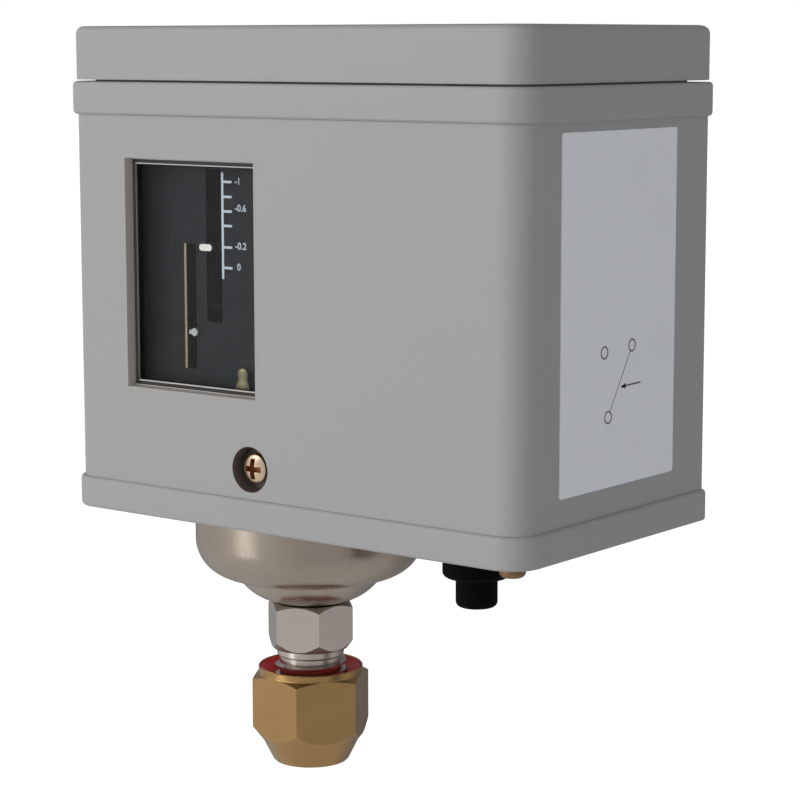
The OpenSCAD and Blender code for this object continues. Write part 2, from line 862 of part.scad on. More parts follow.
// Rod that carries the bellows' movement up to the main lever
module thrust_rod() {
    top = lever_low - contact_gap;
    in_frame() on_element() color("silver") union() {
        translate([0, 0, bellows_low + foil_t]) cylinder(r = rod_foot_r, h = rod_foot_h);
        translate([0, 0, bellows_low + foil_t])
            cylinder(r = rod_r, h = top - rod_tip_r - bellows_low - foil_t);
        translate([0, 0, top - rod_tip_r]) sphere(r = rod_tip_r);
    }
}

// The outline of the cup, or of its hollow when shrunk by the wall
module cup_outline(shrink) {
    corner_x = cup_r - cup_corner_r;
    intersection() {
        union() {
            translate([0, cup_corner_z]) square([cup_r - shrink, cup_top - cup_corner_z]);
            translate([0, cup_corner_z - cup_corner_r + shrink])
                square([corner_x, cup_top - cup_corner_z + cup_corner_r - shrink]);
            translate([corner_x, cup_corner_z]) circle(cup_corner_r - shrink);
            translate([nose_x, nose_z]) circle(nose_r - shrink);
            translate([0, nose_z - nose_r + shrink]) square([nose_x, nose_r]);
        }
        translate([0, cup_low]) square([cup_r, cup_top - cup_low]);
    }
}

// Drawn cup of the bellows element, open at the top and holed for the connector
module bellows_cup() {
    in_frame() on_element() color("wheat") rotate_extrude() difference() {
        cup_outline(0);
        translate([0, 0]) cup_outline(cup_t);
        translate([0, plate_low]) square([cup_r - cup_t, cup_top - plate_low + past]);
        translate([0, cup_low - past])
            square([spigot_low_r + run_gap, cup_t + 2 * past]);
    }
}

// Plate that closes the cup, with a threaded spigot through the chassis floor
module element_plate() {
    in_frame() on_element() color("wheat") difference() {
        union() {
            translate([0, 0, plate_low])
                cylinder(r = cup_r - cup_t - run_gap, h = cup_top - plate_low);
            translate([0, 0, plate_low]) cylinder(r = spigot_r, h = spigot_top - plate_low);
        }
        translate([0, 0, plate_low - past])
            cylinder(r = rod_r + run_gap, h = spigot_top - plate_low + 2 * past);
    }
}

// Ring nut that clamps the element to the chassis floor
module lock_ring() {
    notch_w = 2.4;
    notch_d = 1.2;
    notch_up = 1;
    in_frame() on_element() color("wheat") difference() {
        translate([0, 0, floor_top]) cylinder(r = ring_nut_r, h = ring_nut_h);
        translate([0, 0, floor_top - past])
            cylinder(r = spigot_r + run_gap, h = ring_nut_h + 2 * past);
        for (turn = [0:60:300]) rotate([0, 0, turn])
            translate([ring_nut_r - notch_d, -notch_w / 2, floor_top + notch_up])
            cube([notch_d + past, notch_w, ring_nut_h]);
    }
}

// Corrugated bellows under the plate, closed at its lower end
module bellows() {
    pitch = (bellows_top - foil_t - bellows_low - foil_t) / (2 * bellows_folds);
    levels = [for (i = [0:2 * bellows_folds]) bellows_low + foil_t + pitch * i];
    outer = [for (i = [0:2 * bellows_folds])
        [bellows_r - (i % 2 == 0 ? fold_depth : 0), levels[i]]];
    inner = [for (i = [2 * bellows_folds:-1:0])
        [bellows_r - bellows_wall - (i % 2 == 0 ? fold_depth : 0), levels[i]]];
    in_frame() on_element() color("peru") rotate_extrude() union() {
        polygon(concat(outer, inner));
        translate([0, bellows_low]) square([bellows_r - fold_depth, foil_t]);
        translate([bellows_r - fold_depth - bellows_wall, bellows_top - foil_t])
            square([fold_depth + 2, foil_t]);
    }
}

// Connector: hexagon, neck and male flare, drilled through
module connector() {
    rivet_h = 0.5;
    start = 0.5;
    in_frame() on_element() color("silver") difference() {
        union() {
            translate([0, 0, cup_low - past])
                cylinder(r = spigot_low_r, h = cup_t + past + rivet_h);
            rotate([0, 0, hex_turn]) turned_hex(hex_af, hex_low, hex_h,
                hex_low_r, hex_low_slope, hex_high_r, hex_high_slope);
            translate([0, 0, hex_low - neck_h]) cylinder(r = neck_r, h = neck_h + past);
            rotate_extrude() polygon([
                [0, hex_low - neck_h], [thread_r - start, hex_low - neck_h],
                [thread_r, hex_low - neck_h - start], [thread_r, thread_low],
                [tip_r, tip_low], [0, tip_low]
            ]);
        }
        translate([0, 0, tip_low - past])
            cylinder(r = port_r, h = cup_low + cup_t + rivet_h + 2 * past - tip_low);
    }
}

// Brass flare nut: hexagon turned to a ring at the top and a cone below
module flare_nut() {
    corner = nut_af / sqrt(3);
    out = corner + past;
    bore = thread_r + thread_gap;
    seat_top = thread_low - flare_t;
    in_frame() on_element() color("goldenrod") difference() {
        intersection() {
            translate([0, 0, nut_low]) rotate([0, 0, nut_turn])
                cylinder(r = corner, h = nut_h, $fn = 6);
            rotate_extrude() polygon([
                [0, nut_top], [nut_ring_r, nut_top], [nut_ring_r, nut_top - nut_ring_h],
                [out, nut_top - nut_ring_h - (out - nut_ring_r) * nut_shoulder_slope],
                [out, nut_low + nut_neck_h + (out - nut_neck_r) * nut_cone_slope],
                [nut_neck_r, nut_low + nut_neck_h], [nut_end_r, nut_low + nut_end_h],
                [nut_end_r - nut_end_h, nut_low], [0, nut_low]
            ]);
        }
        rotate_extrude() polygon([
            [0, nut_low - past], [tube_hole_r, nut_low - past],
            [tube_hole_r, seat_top - bore + tube_hole_r], [bore, seat_top],
            [bore, seal_low], [seal_outer_r + run_gap, seal_low],
            [seal_outer_r + run_gap, nut_top + past], [0, nut_top + past]
        ]);
    }
}

// Red ring round the thread in the mouth of the nut, lower at the thread than at the rim
module seal_ring() {
    in_frame() on_element() color("firebrick") rotate_extrude() polygon([
        [seal_inner_r, seal_low + run_gap], [seal_outer_r, seal_low + run_gap],
        [seal_outer_r, seal_top], [seal_inner_r, seal_top - seal_dish]
    ]);
}

// Moulded switch body: slab, terminal ribs, feet on the back plate, push pin guide
module contact_block() {
    in_frame() color([0.25, 0.18, 0.14]) difference() {
        union() {
            translate([block_left, block_front, block_low])
                cube([block_right - block_left, block_back - block_front,
                    block_high - block_low]);
            for (i = [0:3])
                translate([rib_left, rib_front, block_low + i * bay_pitch])
                cube([block_right - rib_left, block_front - rib_front + past, rib_t]);
            translate([block_right - rib_t, rib_front, block_low])
                cube([rib_t, block_front - rib_front + past, block_high - block_low]);
            for (z = block_screw_z)
                cross_pin(block_screw_x, z, foot_r, -steel_t, -steel_t - block_back + past);
            translate([push_x - guide_half_w, push_y - guide_half_d, guide_low])
                cube([block_left - push_x + guide_half_w + join,
                    block_back - push_y + guide_half_d, guide_high - guide_low]);
        }
        translate([push_x, push_y, guide_low - past])
            cylinder(r = push_r + run_gap, h = guide_high - guide_low + 2 * past);
        for (z = block_screw_z) cross_pin(block_screw_x, z,
            block_screw_r + run_gap, past, -block_front + 2 * past);
        for (z = bay_z) cross_pin(term_screw_x, z, term_screw_r + run_gap,
            block_front + hole_depth, hole_depth + past);
        cross_pin(arm_pivot_x, arm_z, arm_pin_r + run_gap,
            block_front + hole_depth, hole_depth + past);
    }
}

// Two screws that hold the switch body to the back plate
module block_screws() {
    in_frame() color("silver") for (z = block_screw_z) union() {
        translate([block_screw_x, block_front - block_head_h, z]) rotate([90, 0, 0])
            cross_head(block_head_r, block_head_h);
        cross_pin(block_screw_x, z, block_screw_r, -steel_t, -block_front - steel_t);
    }
}

// A terminal's flat plate in its bay
module terminal_tab(z, left) {
    translate([left, strip_front, z - tab_w / 2])
        cube([block_right - rib_t - strip_lap - left, strip_t, tab_w]);
}

// The clamp screw's hole through a terminal plate
module terminal_hole(z) {
    cross_pin(term_screw_x, z, term_screw_r + run_gap, block_front + past,
        strip_t + 2 * past);
}

// Common terminal, which carries the contact arm's pin
module common_terminal() {
    in_frame() color("goldenrod") difference() {
        union() {
            terminal_tab(bay_z[1], rib_left + strip_lap);
            translate([arm_pivot_x - eye_half, strip_front, arm_z - eye_half])
                cube([2 * eye_half - seat_gap, strip_t, eye_half + strip_w]);
            translate([arm_pivot_x, strip_front, arm_z])
                cube([rib_left + 2 * strip_lap - arm_pivot_x, strip_t, strip_w]);
        }
        terminal_hole(bay_z[1]);
        cross_pin(arm_pivot_x, arm_z, arm_pin_r + run_gap, block_front + past,
            strip_t + 2 * past);
    }
}

// Terminal of the upper contact, which meets the arm when the pressure is high
module upper_terminal() {
    tip_z = upper_button + button_h;
    bay_low = bay_z[2] - tab_w / 2;
    in_frame() color("goldenrod") difference() {
        union() {
            terminal_tab(bay_z[2], rib_left + strip_lap);
            translate([tip_x - tab_half, strip_front, tip_z])
                cube([block_left + strip_w - tip_x + tab_half, strip_t, strip_w]);
            translate([block_left, strip_front, tip_z])
                cube([strip_w, strip_t, bay_low + strip_w - tip_z]);
            translate([block_left, strip_front, bay_low])
                cube([rib_left + 2 * strip_lap - block_left, strip_t, strip_w]);
            contact_tab(tip_z);
            translate([tip_x, push_y, upper_button])
                cylinder(r = button_r, h = button_h + strip_t / 2);
        }
        terminal_hole(bay_z[2]);
    }
}

// Terminal of the lower contact, where the arm rests
module lower_terminal() {
    tip_z = lower_button - button_h;
    in_frame() color("goldenrod") difference() {
        union() {
            terminal_tab(bay_z[0], rib_left + strip_lap);
            translate([tip_x - tab_half, strip_front, tip_z - lower_strip_w - seat_gap])
                cube([rib_left + 2 * strip_lap - tip_x + tab_half, strip_t, lower_strip_w]);
            contact_tab(tip_z - strip_t);
            translate([tip_x, push_y, tip_z - strip_t / 2])
                cylinder(r = button_r, h = button_h + strip_t / 2);
        }
        terminal_hole(bay_z[0]);
    }
}

// A fixed contact's tab, bent forwards from its strip
module contact_tab(z) {
    translate([tip_x - tab_half, arm_front, z])
        cube([2 * tab_half, strip_front + strip_t - arm_front, strip_t]);
}

// Three clamp screws, one in each bay
module terminal_screws() {
    in_frame() color("silver") for (z = bay_z) union() {
        translate([term_screw_x, strip_front - term_head_h, z]) rotate([90, 0, 0])
            cross_head(term_head_r, term_head_h);
        cross_pin(term_screw_x, z, term_screw_r, block_front + screw_reach,
            strip_t + screw_reach);
    }
}

// Moving contact arm with a button on each side of its tip
module contact_arm() {
    in_frame() color("goldenrod") difference() {
        union() {
            translate([tip_x - 2, arm_front, arm_low])
                cube([arm_reach + 2, arm_w, arm_t]);
            translate([tip_x, push_y, arm_low - button_h])
                cylinder(r = button_r, h = arm_t + 2 * button_h);
            cross_pin(arm_pivot_x, arm_z, knuckle_r, arm_back, arm_w);
        }
        cross_pin(arm_pivot_x, arm_z, arm_pin_r + run_gap, arm_back + past, arm_w + 2 * past);
    }
}

// Headed pin of the contact arm
module arm_pin() {
    in_frame() color("silver") union() {
        cross_pin(arm_pivot_x, arm_z, arm_pin_r, block_front + screw_reach,
            block_front + screw_reach - arm_front + arm_pin_head_h);
        cross_pin(arm_pivot_x, arm_z, knuckle_r, arm_front - seat_gap, arm_pin_head_h);
    }
}

// Insulating push pin between the main lever and the contact arm, domed at both ends
module push_pin() {
    low = lever_top + contact_gap + push_r;
    high = arm_low - contact_gap - push_r;
    in_frame() color("saddlebrown") translate([push_x, push_y, 0]) union() {
        translate([0, 0, low]) cylinder(r = push_r, h = high - low);
        for (z = [low, high]) translate([0, 0, z]) sphere(r = push_r);
    }
}

chassis();
front_cover();
top_cap();
window_pane();
cover_screw();
cable_gland();
earth_screw();
earth_washer();
spindle_bracket();
bracket_screws();
scale_plate();
pointer_guide();
range_spindle();
range_nut();
range_pointer();
range_spring();
diff_spindle();
diff_nut();
diff_pointer();
diff_spring();
lever_pin();
main_lever();
diff_lever();
thrust_rod();
bellows_cup();
element_plate();
bellows();
lock_ring();
connector();
flare_nut();
seal_ring();
contact_block();
block_screws();
common_terminal();
upper_terminal();
lower_terminal();
terminal_screws();
contact_arm();
arm_pin();
push_pin();
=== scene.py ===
"""The looks of a wall-mounted pressure switch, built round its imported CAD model."""

import json
import logging
import math
from dataclasses import dataclass, field
from enum import Enum

import bmesh
import bpy
from mathutils import Matrix, Vector
from mathutils.bvhtree import BVHTree

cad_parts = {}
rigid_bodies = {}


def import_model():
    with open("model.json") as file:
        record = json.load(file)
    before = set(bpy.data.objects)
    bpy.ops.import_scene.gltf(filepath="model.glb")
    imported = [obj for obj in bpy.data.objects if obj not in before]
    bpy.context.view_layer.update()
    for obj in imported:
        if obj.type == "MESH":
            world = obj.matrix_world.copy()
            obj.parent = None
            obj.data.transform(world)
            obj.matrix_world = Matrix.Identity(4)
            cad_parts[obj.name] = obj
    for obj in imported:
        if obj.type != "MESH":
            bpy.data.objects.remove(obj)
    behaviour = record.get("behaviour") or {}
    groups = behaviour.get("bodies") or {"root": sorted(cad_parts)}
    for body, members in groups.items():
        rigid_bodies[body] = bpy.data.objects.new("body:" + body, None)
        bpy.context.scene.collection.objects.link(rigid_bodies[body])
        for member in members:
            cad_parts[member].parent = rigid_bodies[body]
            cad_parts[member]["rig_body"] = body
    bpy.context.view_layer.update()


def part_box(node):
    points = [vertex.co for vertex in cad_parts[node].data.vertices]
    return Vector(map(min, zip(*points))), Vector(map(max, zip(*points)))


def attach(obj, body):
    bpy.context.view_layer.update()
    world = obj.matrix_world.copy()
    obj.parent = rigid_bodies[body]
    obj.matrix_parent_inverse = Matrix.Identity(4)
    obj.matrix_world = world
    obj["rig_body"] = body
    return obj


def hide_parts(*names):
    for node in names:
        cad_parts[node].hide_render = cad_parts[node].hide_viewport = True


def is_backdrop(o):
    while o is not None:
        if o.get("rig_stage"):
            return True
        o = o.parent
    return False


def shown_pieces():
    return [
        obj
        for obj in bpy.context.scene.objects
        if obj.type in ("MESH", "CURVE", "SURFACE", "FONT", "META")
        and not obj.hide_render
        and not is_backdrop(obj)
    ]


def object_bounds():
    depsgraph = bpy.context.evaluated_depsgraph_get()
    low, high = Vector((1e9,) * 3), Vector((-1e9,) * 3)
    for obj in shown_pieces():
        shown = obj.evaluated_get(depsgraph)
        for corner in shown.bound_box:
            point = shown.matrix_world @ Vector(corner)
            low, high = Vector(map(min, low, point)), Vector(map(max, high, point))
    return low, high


LOG = logging.getLogger("pressure_switch")
MM = 0.001
CAD_WELD = 0.002 * MM
WELD = 0.001 * MM
FINE_WELD = 0.0001 * MM
FRAME_SIZE = (800, 800)
IMAGE_POINTS = {
    "left": (73.0, 100.0),
    "right": (713.0, 100.0),
    "top": (510.0, 22.8),
    "bottom": (312.0, 766.5),
    "window_upper_left": (124.0, 157.0),
    "window_lower_left": (127.0, 386.0),
    "window_upper_right": (251.5, 162.0),
    "window_lower_right": (255.5, 401.0),
    "cover_screw": (252.0, 467.0),
    "label_upper_left": (562.0, 133.0),
    "label_lower_right": (671.5, 470.5),
    "contact_symbol": (621.0, 381.0),
    "scale_top": (221.5, 172.5),
    "scale_low": (224.0, 279.0),
    "number_high": (237.0, 181.5),
    "number_zero": (239.0, 267.5),
    "rivet": (242.0, 378.0),
    "range_pointer": (205.5, 248.0),
    "diff_pointer": (193.5, 332.0),
    "gland_tip": (476.5, 607.5),
}


class Coating(Enum):
    """How a metal surface is finished."""

    PLATED = "plated"
    DRAWN = "drawn"
    TURNED = "turned"
    ZINC = "zinc"
    ROLLED = "rolled"


class Wire:
    """A shader socket or a number that adds Math nodes when it is calculated with."""

    def __init__(self, graph: "Graph", value: object) -> None:
        """Keep the graph that new nodes go to, and the socket or number.

        Args:
            graph: the material's node graph.
            value: a node's output socket, or a number.
        """
        self.graph = graph
        self.value = value

    def _math(self, operation: str, *terms: object) -> "Wire":
        """Add one Math node.

        Args:
            operation: the Math node's operation.
            terms: its inputs, as wires or numbers.

        Returns:
            The wire of the node's result.
        """
        values = {i: term for i, term in enumerate(terms)}
        return self.graph.node("ShaderNodeMath", {"operation": operation}, values)

    def __add__(self, other: object) -> "Wire":
        """This value plus the other."""
        return self._math("ADD", self, other)

    __radd__ = __add__

    def __mul__(self, other: object) -> "Wire":
        """This value times the other."""
        return self._math("MULTIPLY", self, other)

    __rmul__ = __mul__

    def __sub__(self, other: object) -> "Wire":
        """This value minus the other."""
        return self._math("SUBTRACT", self, other)

    def __rsub__(self, other: object) -> "Wire":
        """The other value minus this one."""
        return self._math("SUBTRACT", other, self)

    def power(self, exponent: float) -> "Wire":
        """This value raised to a power."""
        return self._math("POWER", self, exponent)

    def clamped(self) -> "Wire":
        """This value kept between 0 and 1."""
        return self._math("MINIMUM", self._math("MAXIMUM", self, 0.0), 1.0)

    def step(self, low: float, high: float) -> "Wire":
        """A smooth rise with this value.

        Args:
            low: where the rise starts, at 0.
            high: where it ends, at 1.

        Returns:
            The wire of the rise.
        """
        return self.graph.node(
            "ShaderNodeMapRange",
            {"interpolation_type": "SMOOTHSTEP"},
            {"Value": self, "From Min": low, "From Max": high},
        )


class Graph:
    """The node graph of a material or of the world."""

    def __init__(self, owner: bpy.types.ID, output: str = "ShaderNodeOutputMaterial") -> None:
        """Start a graph that holds only its output.

        Args:
            owner: the material or the world.
            output: the type of its output node.
        """
        owner.use_nodes = True
        self.owner = owner
        self.tree = owner.node_tree
        self.tree.nodes.clear()
        self.output = self.tree.nodes.new(output)

    @classmethod
    def of_material(cls, name: str) -> "Graph":
        """Start the graph of a new material."""
        return cls(bpy.data.materials.new(name))

    def node(
        self, kind: str, settings: dict, values: dict, output: object = 0
    ) -> Wire:
        """Add any node.

        Args:
            kind: the node's type.
            settings: its properties, or "stops" for a colour ramp's list of (place, colour).
            values: wires, sockets or constants for its inputs, by name or number.
            output: which output to return, by name or number.

        Returns:
            The wire of that output.
        """
        made = self.tree.nodes.new(kind)
        for key, setting in settings.items():
            if key == "stops":
                self._set_stops(made.color_ramp, setting)
            else:
                setattr(made, key, setting)
        for key, value in values.items():
            raw = value.value if isinstance(value, Wire) else value
            if isinstance(raw, bpy.types.NodeSocket):
                self.tree.links.new(raw, made.inputs[key])
            else:
                made.inputs[key].default_value = raw
        return Wire(self, made.outputs[output])

    @staticmethod
    def _set_stops(ramp: bpy.types.ColorRamp, stops: list) -> None:
        """Give a colour ramp its stops.

        Args:
            ramp: the node's ramp.
            stops: (place, colour) pairs in rising order.
        """
        while len(ramp.elements) < len(stops):
            ramp.elements.new(1.0)
        for element, (place, colour) in zip(ramp.elements, stops):
            element.position = place
            element.color = colour

    def place(self, scale: tuple = (1.0, 1.0, 1.0), centre: tuple = (0.0, 0.0, 0.0)) -> Wire:
        """Object coordinates, moved so that centre is at zero and then scaled.

        Args:
            scale: the factor along each axis.
            centre: the point that goes to zero, in metres.

        Returns:
            The wire of the coordinates.
        """
        raw = self.node("ShaderNodeTexCoord", {}, {}, "Object")
        shift = tuple(-c * s for c, s in zip(centre, scale))
        return self.node(
            "ShaderNodeMapping", {}, {"Vector": raw, "Location": shift, "Scale": scale}
        )

    def noise(self, at: Wire, scale: float, detail: float = 3.0, rough: float = 0.5) -> Wire:
        """Fractal noise between 0 and 1.

        Args:
            at: the coordinates.
            scale: how many features there are to the metre.
            detail: the number of octaves.
            rough: the weight of the finer octaves.

        Returns:
            The wire of the noise.
        """
        return self.node(
            "ShaderNodeTexNoise",
            {},
            {"Vector": at, "Scale": scale, "Detail": detail, "Roughness": rough},
            "Fac",
        )

    def blend(self, amount: Wire, low: tuple, high: tuple) -> Wire:
        """A colour between two colours.

        Args:
            amount: 0 for low and 1 for high.
            low: the first colour, or its wire.
            high: the second colour, or its wire.

        Returns:
            The wire of the colour.
        """
        colours = {0: amount, 6: low, 7: high}
        return self.node("ShaderNodeMix", {"data_type": "RGBA"}, colours, 2)

    def bump(self, height: Wire, strength: float, depth: float) -> Wire:
        """A normal that a height map disturbs.

        Args:
            height: the height, from 0 to 1.
            strength: how much of the disturbance shows.
            depth: the height of 1 in metres.

        Returns:
            The wire of the normal.
        """
        return self.node(
            "ShaderNodeBump",
            {},
            {"Height": height, "Strength": strength, "Distance": depth},
        )

    def finish(self, values: dict) -> bpy.types.Material:
        """Close the graph with a Principled shader.

        Args:
            values: the shader's inputs, by name.

        Returns:
            The finished material.
        """
        return self.close(self.node("ShaderNodeBsdfPrincipled", {}, values))

    def close(self, shader: Wire) -> bpy.types.ID:
        """Link a shader to the output.

        Args:
            shader: the wire of the shader.

        Returns:
            The material or the world.
        """
        self.tree.links.new(shader.value, self.output.inputs["Surface"])
        return self.owner


def tone(red: float, green: float, blue: float) -> tuple:
    """A colour from display values of 0 to 255, as linear values.

    Args:
        red: the display value of red.
        green: the display value of green.
        blue: the display value of blue.

    Returns:
        The linear colour with an alpha of 1.
    """
    linear = [
        c / 12.92 if c <= 0.04045 else ((c + 0.055) / 1.055) ** 2.4
        for c in (red / 255, green / 255, blue / 255)
    ]
    return (*linear, 1.0)


def lit(colour: tuple, factor: float) -> tuple:
    """A colour made lighter or darker.

    Args:
        colour: the linear colour.
        factor: the factor on its values.

    Returns:
        The linear colour with an alpha of 1.
    """
    return tuple(min(1.0, c * factor) for c in colour[:3]) + (1.0,)


@dataclass(frozen=True)
class GrainedPlastic:
    """A moulded plastic or textured paint with a fine spark-eroded grain."""

    name: str
    colour: tuple
    roughness: float = 0.5
    grain: float = 2600.0
    depth: float = 0.00002
    speckle: float = 0.06

    def make(self) -> bpy.types.Material:
        """Build the material.

        Returns:
            The material.
        """
        graph = Graph.of_material(self.name)
        at = graph.place()
        fine = graph.noise(at, self.grain, 2.0, 0.6)
        cloud = graph.noise(at, 45.0, 4.0, 0.55)
        scuff = graph.noise(graph.place((1.0, 1.0, 0.25)), 420.0, 5.0, 0.65).step(0.62, 0.78)
        shade = (fine - 0.5) * self.speckle + (cloud - 0.5) * (self.speckle * 1.5)
        dark = lit(self.colour, 1 - 2 * self.speckle)
        light = lit(self.colour, 1 + 2 * self.speckle)
        base = graph.blend((shade + 0.5).clamped(), dark, light)
        worn = graph.blend(scuff * 0.12, base, lit(light, 1.25))
        return graph.finish(
            {
                "Base Color": worn,
                "Roughness": cloud * 0.08 + (fine * 0.1 + (self.roughness - 0.09)),
                "Normal": graph.bump(fine, 0.35, self.depth),
                "IOR": 1.46,
            }
        )


@dataclass(frozen=True)
class Metal:
    """A metal surface: plated, drawn, turned, zinc-coated or rolled."""

    name: str
    coating: Coating
    colour: tuple
    tarnish: tuple
    roughness: float = 0.25
    centre: tuple = (0.0, 0.0, 0.0)
    lines: float = 0.08

    def _marks(self, graph: Graph) -> Wire:
        """The fine lines that its making left.

        Args:
            graph: the material's graph.

        Returns:
            A wire between 0 and 1.
        """
        if self.coating in (Coating.TURNED, Coating.PLATED):
            return graph.noise(graph.place((0.04, 0.04, 1.0), self.centre), 9000.0, 3.0, 0.6)
        if self.coating is Coating.DRAWN:
            return graph.noise(graph.place((1.0, 1.0, 0.05), self.centre), 2600.0, 4.0, 0.6)
        if self.coating is Coating.ROLLED:
            return graph.noise(graph.place((0.03, 1.0, 1.0), self.centre), 5200.0, 3.0, 0.6)
        return graph.node(
            "ShaderNodeTexVoronoi",
            {},
            {"Vector": graph.place(), "Scale": 520.0, "Randomness": 1.0},
            "Color",
        )

    def make(self) -> bpy.types.Material:
        """Build the material.

        Returns:
            The material.
        """
        graph = Graph.of_material(self.name)
        at = graph.place()
        cloud = graph.noise(at, 130.0, 4.0, 0.6)
        stain = graph.noise(at, 420.0, 5.0, 0.7).step(0.48, 0.8)
        marks = self._marks(graph)
        if self.coating is Coating.ZINC:
            marks = graph.node("ShaderNodeSeparateColor", {}, {0: marks}, 0)
        amount = (stain * 0.08 + (cloud - 0.5) * 0.35 + (marks - 0.5) * 0.25 + 0.2).clamped()
        base = graph.blend(amount, self.colour, self.tarnish)
        rough = (marks - 0.5) * self.lines + stain * 0.04 + (cloud * 0.08 + (self.roughness - 0.04))
        return graph.finish(
            {
                "Base Color": base,
                "Metallic": 1.0,
                "Roughness": rough.clamped(),
                "Normal": graph.bump(marks, 0.12, 0.00002),
            }
        )


@dataclass(frozen=True)
class SoftBlack:
    """Black rubber with a slightly dusty skin."""

    name: str
    colour: tuple
    roughness: float = 0.55

    def make(self) -> bpy.types.Material:
        """Build the material.

        Returns:
            The material.
        """
        graph = Graph.of_material(self.name)
        at = graph.place()
        dust = graph.noise(at, 600.0, 4.0, 0.65)
        pores = graph.noise(at, 3800.0, 2.0, 0.5)
        pale = tuple(c + 0.004 for c in self.colour[:3]) + (1.0,)
        return graph.finish(
            {
                "Base Color": graph.blend(dust.step(0.5, 0.9), self.colour, pale),
                "Roughness": dust * 0.15 + (self.roughness - 0.08),
                "Normal": graph.bump(pores, 0.25, 0.00002),
                "Specular IOR Level": 0.06,
            }
        )


@dataclass(frozen=True)
class ClearPane:
    """A clear moulded pane with faint scratches."""

    name: str
    tint: tuple
    alpha: float = 0.16

    def make(self) -> bpy.types.Material:
        """Build the material.

        Returns:
            The material.
        """
        graph = Graph.of_material(self.name)
        haze = graph.noise(graph.place((1.0, 1.0, 0.2)), 900.0, 4.0, 0.7).step(0.55, 0.85)
        return graph.finish(
            {
                "Base Color": self.tint,
                "Roughness": haze * 0.1 + 0.03,
                "Alpha": haze * 0.04 + self.alpha,
                "IOR": 1.49,
            }
        )


@dataclass(frozen=True)
class PrintedSurface:
    """A flat printed or painted surface with faint mottling."""

    name: str
    colour: tuple
    roughness: float = 0.4
    mottle: float = 0.05
    shine: float = 0.5

    def make(self) -> bpy.types.Material:
        """Build the material.

        Returns:
            The material.
        """
        graph = Graph.of_material(self.name)
        at = graph.place()
        patch = graph.noise(at, 160.0, 5.0, 0.6)
        fibre = graph.noise(at, 2600.0, 3.0, 0.6)
        low = lit(self.colour, 1 - self.mottle)
        high = lit(self.colour, 1 + self.mottle)
        return graph.finish(
            {
                "Base Color": graph.blend((patch * 0.7 + fibre * 0.3).clamped(), low, high),
                "Roughness": fibre * 0.1 + (self.roughness - 0.05),
                "Specular IOR Level": self.shine,
                "Normal": graph.bump(fibre, 0.15, 0.00001),
            }
        )


@dataclass
class Finishes:
    """The materials of the whole object, made once and shared."""

    axis: tuple
    made: dict = field(default_factory=dict)

    def build(self) -> None:
        """Make every material."""
        axis = self.axis
        kinds = [
            GrainedPlastic("cover_grey", tone(167, 166, 166)),
            # painted light: a paler grey for the window opening's side walls, which lie in shade
            GrainedPlastic("painted_wall_light", tone(206, 199, 191)),
            # painted shade: a darker grey for the inside of the screw's well
            GrainedPlastic("painted_well_shade", tone(112, 100, 94), 0.45, 1800.0),
            ClearPane("clear_pane", tone(225, 230, 230), 0.015),
            # painted highlight: a pale, nearly opaque finish for the bright lines on the pane rim's
            # bevelled edge
            ClearPane("pane_painted_highlight", tone(236, 230, 226), 0.8),
            # painted shade: a dark, nearly opaque finish for the shadow gap at the pane rim's front
            ClearPane("pane_rim", tone(44, 42, 42), 0.82),
            Metal("nut_brass", Coating.TURNED, tone(172, 138, 92), tone(122, 88, 48), 0.27, axis),
            Metal("brass_parts", Coating.ROLLED, tone(210, 172, 108), tone(160, 118, 62), 0.28),
            Metal("guide_brass", Coating.ROLLED, tone(176, 160, 132), tone(136, 121, 97), 0.5),
            Metal("stud_brass", Coating.PLATED, tone(132, 129, 102), tone(96, 92, 68), 0.4),
            Metal("earth_brass", Coating.ROLLED, tone(142, 112, 84), tone(90, 68, 48), 0.34),
            Metal("screw_bronze", Coating.PLATED, tone(214, 190, 164), tone(150, 126, 100), 0.26),
            # painted shade: a darker finish for the shadow in the cross of the screw's head
            Metal("screw_recess_shade", Coating.ZINC, tone(190, 134, 96), tone(130, 86, 58), 0.6),
            Metal("bronze", Coating.ROLLED, tone(196, 140, 98), tone(120, 78, 48), 0.3),
            Metal("cup_nickel", Coating.DRAWN, tone(168, 156, 144), tone(122, 108, 94), 0.27, axis),
            Metal("fitting_nickel", Coating.DRAWN, tone(188, 179, 172), tone(148, 138, 130), 0.22, axis),
            # painted shade: a darker, rougher finish for the downward faces under the hexagon
            Metal("under_hexagon_shade", Coating.TURNED, tone(170, 161, 153), tone(120, 112, 106), 0.5, axis),
            Metal("zinc", Coating.ZINC, tone(196, 199, 202), tone(150, 154, 158), 0.36),
            Metal("bright_steel", Coating.ROLLED, tone(205, 205, 205), tone(150, 150, 150), 0.25),
            Metal("spring_wire", Coating.ROLLED, tone(130, 132, 136), tone(80, 80, 84), 0.32),
            SoftBlack("black_rubber", tone(5, 5, 6), 0.7),
            PrintedSurface("dial_grey", tone(26, 28, 32), 0.45, 0.12, 0.12),
            PrintedSurface("pointer_cream", tone(236, 236, 228), 0.3),
            PrintedSurface("pointer_grey", tone(172, 177, 178), 0.3),
            # painted shade: a dark finish for the pointer stems, which run back into shadow
            PrintedSurface("pointer_stem_shade", tone(44, 46, 50), 0.5),
            PrintedSurface("dial_white", tone(196, 207, 217), 0.5),
            PrintedSurface("label_paper", tone(242, 246, 253), 0.42, 0.03),
            PrintedSurface("label_ink", tone(60, 62, 74), 0.5),
            GrainedPlastic("seal_red", tone(238, 14, 28), 0.45, 1500.0),
            GrainedPlastic("phenolic", tone(58, 46, 42), 0.4, 1800.0),
            GrainedPlastic("fibre", tone(140, 96, 64), 0.55, 1400.0),
        ]
        for kind in kinds:
            self.made[kind.name] = kind.make()

    def paint(self, piece: bpy.types.Object, name: str) -> None:
        """Give a piece one finish.

        Args:
            piece: the object to paint.
            name: the finish's name.
        """
        piece.data.materials.clear()
        piece.data.materials.append(self.made[name])
        for polygon in piece.data.polygons:
            polygon.material_index = 0


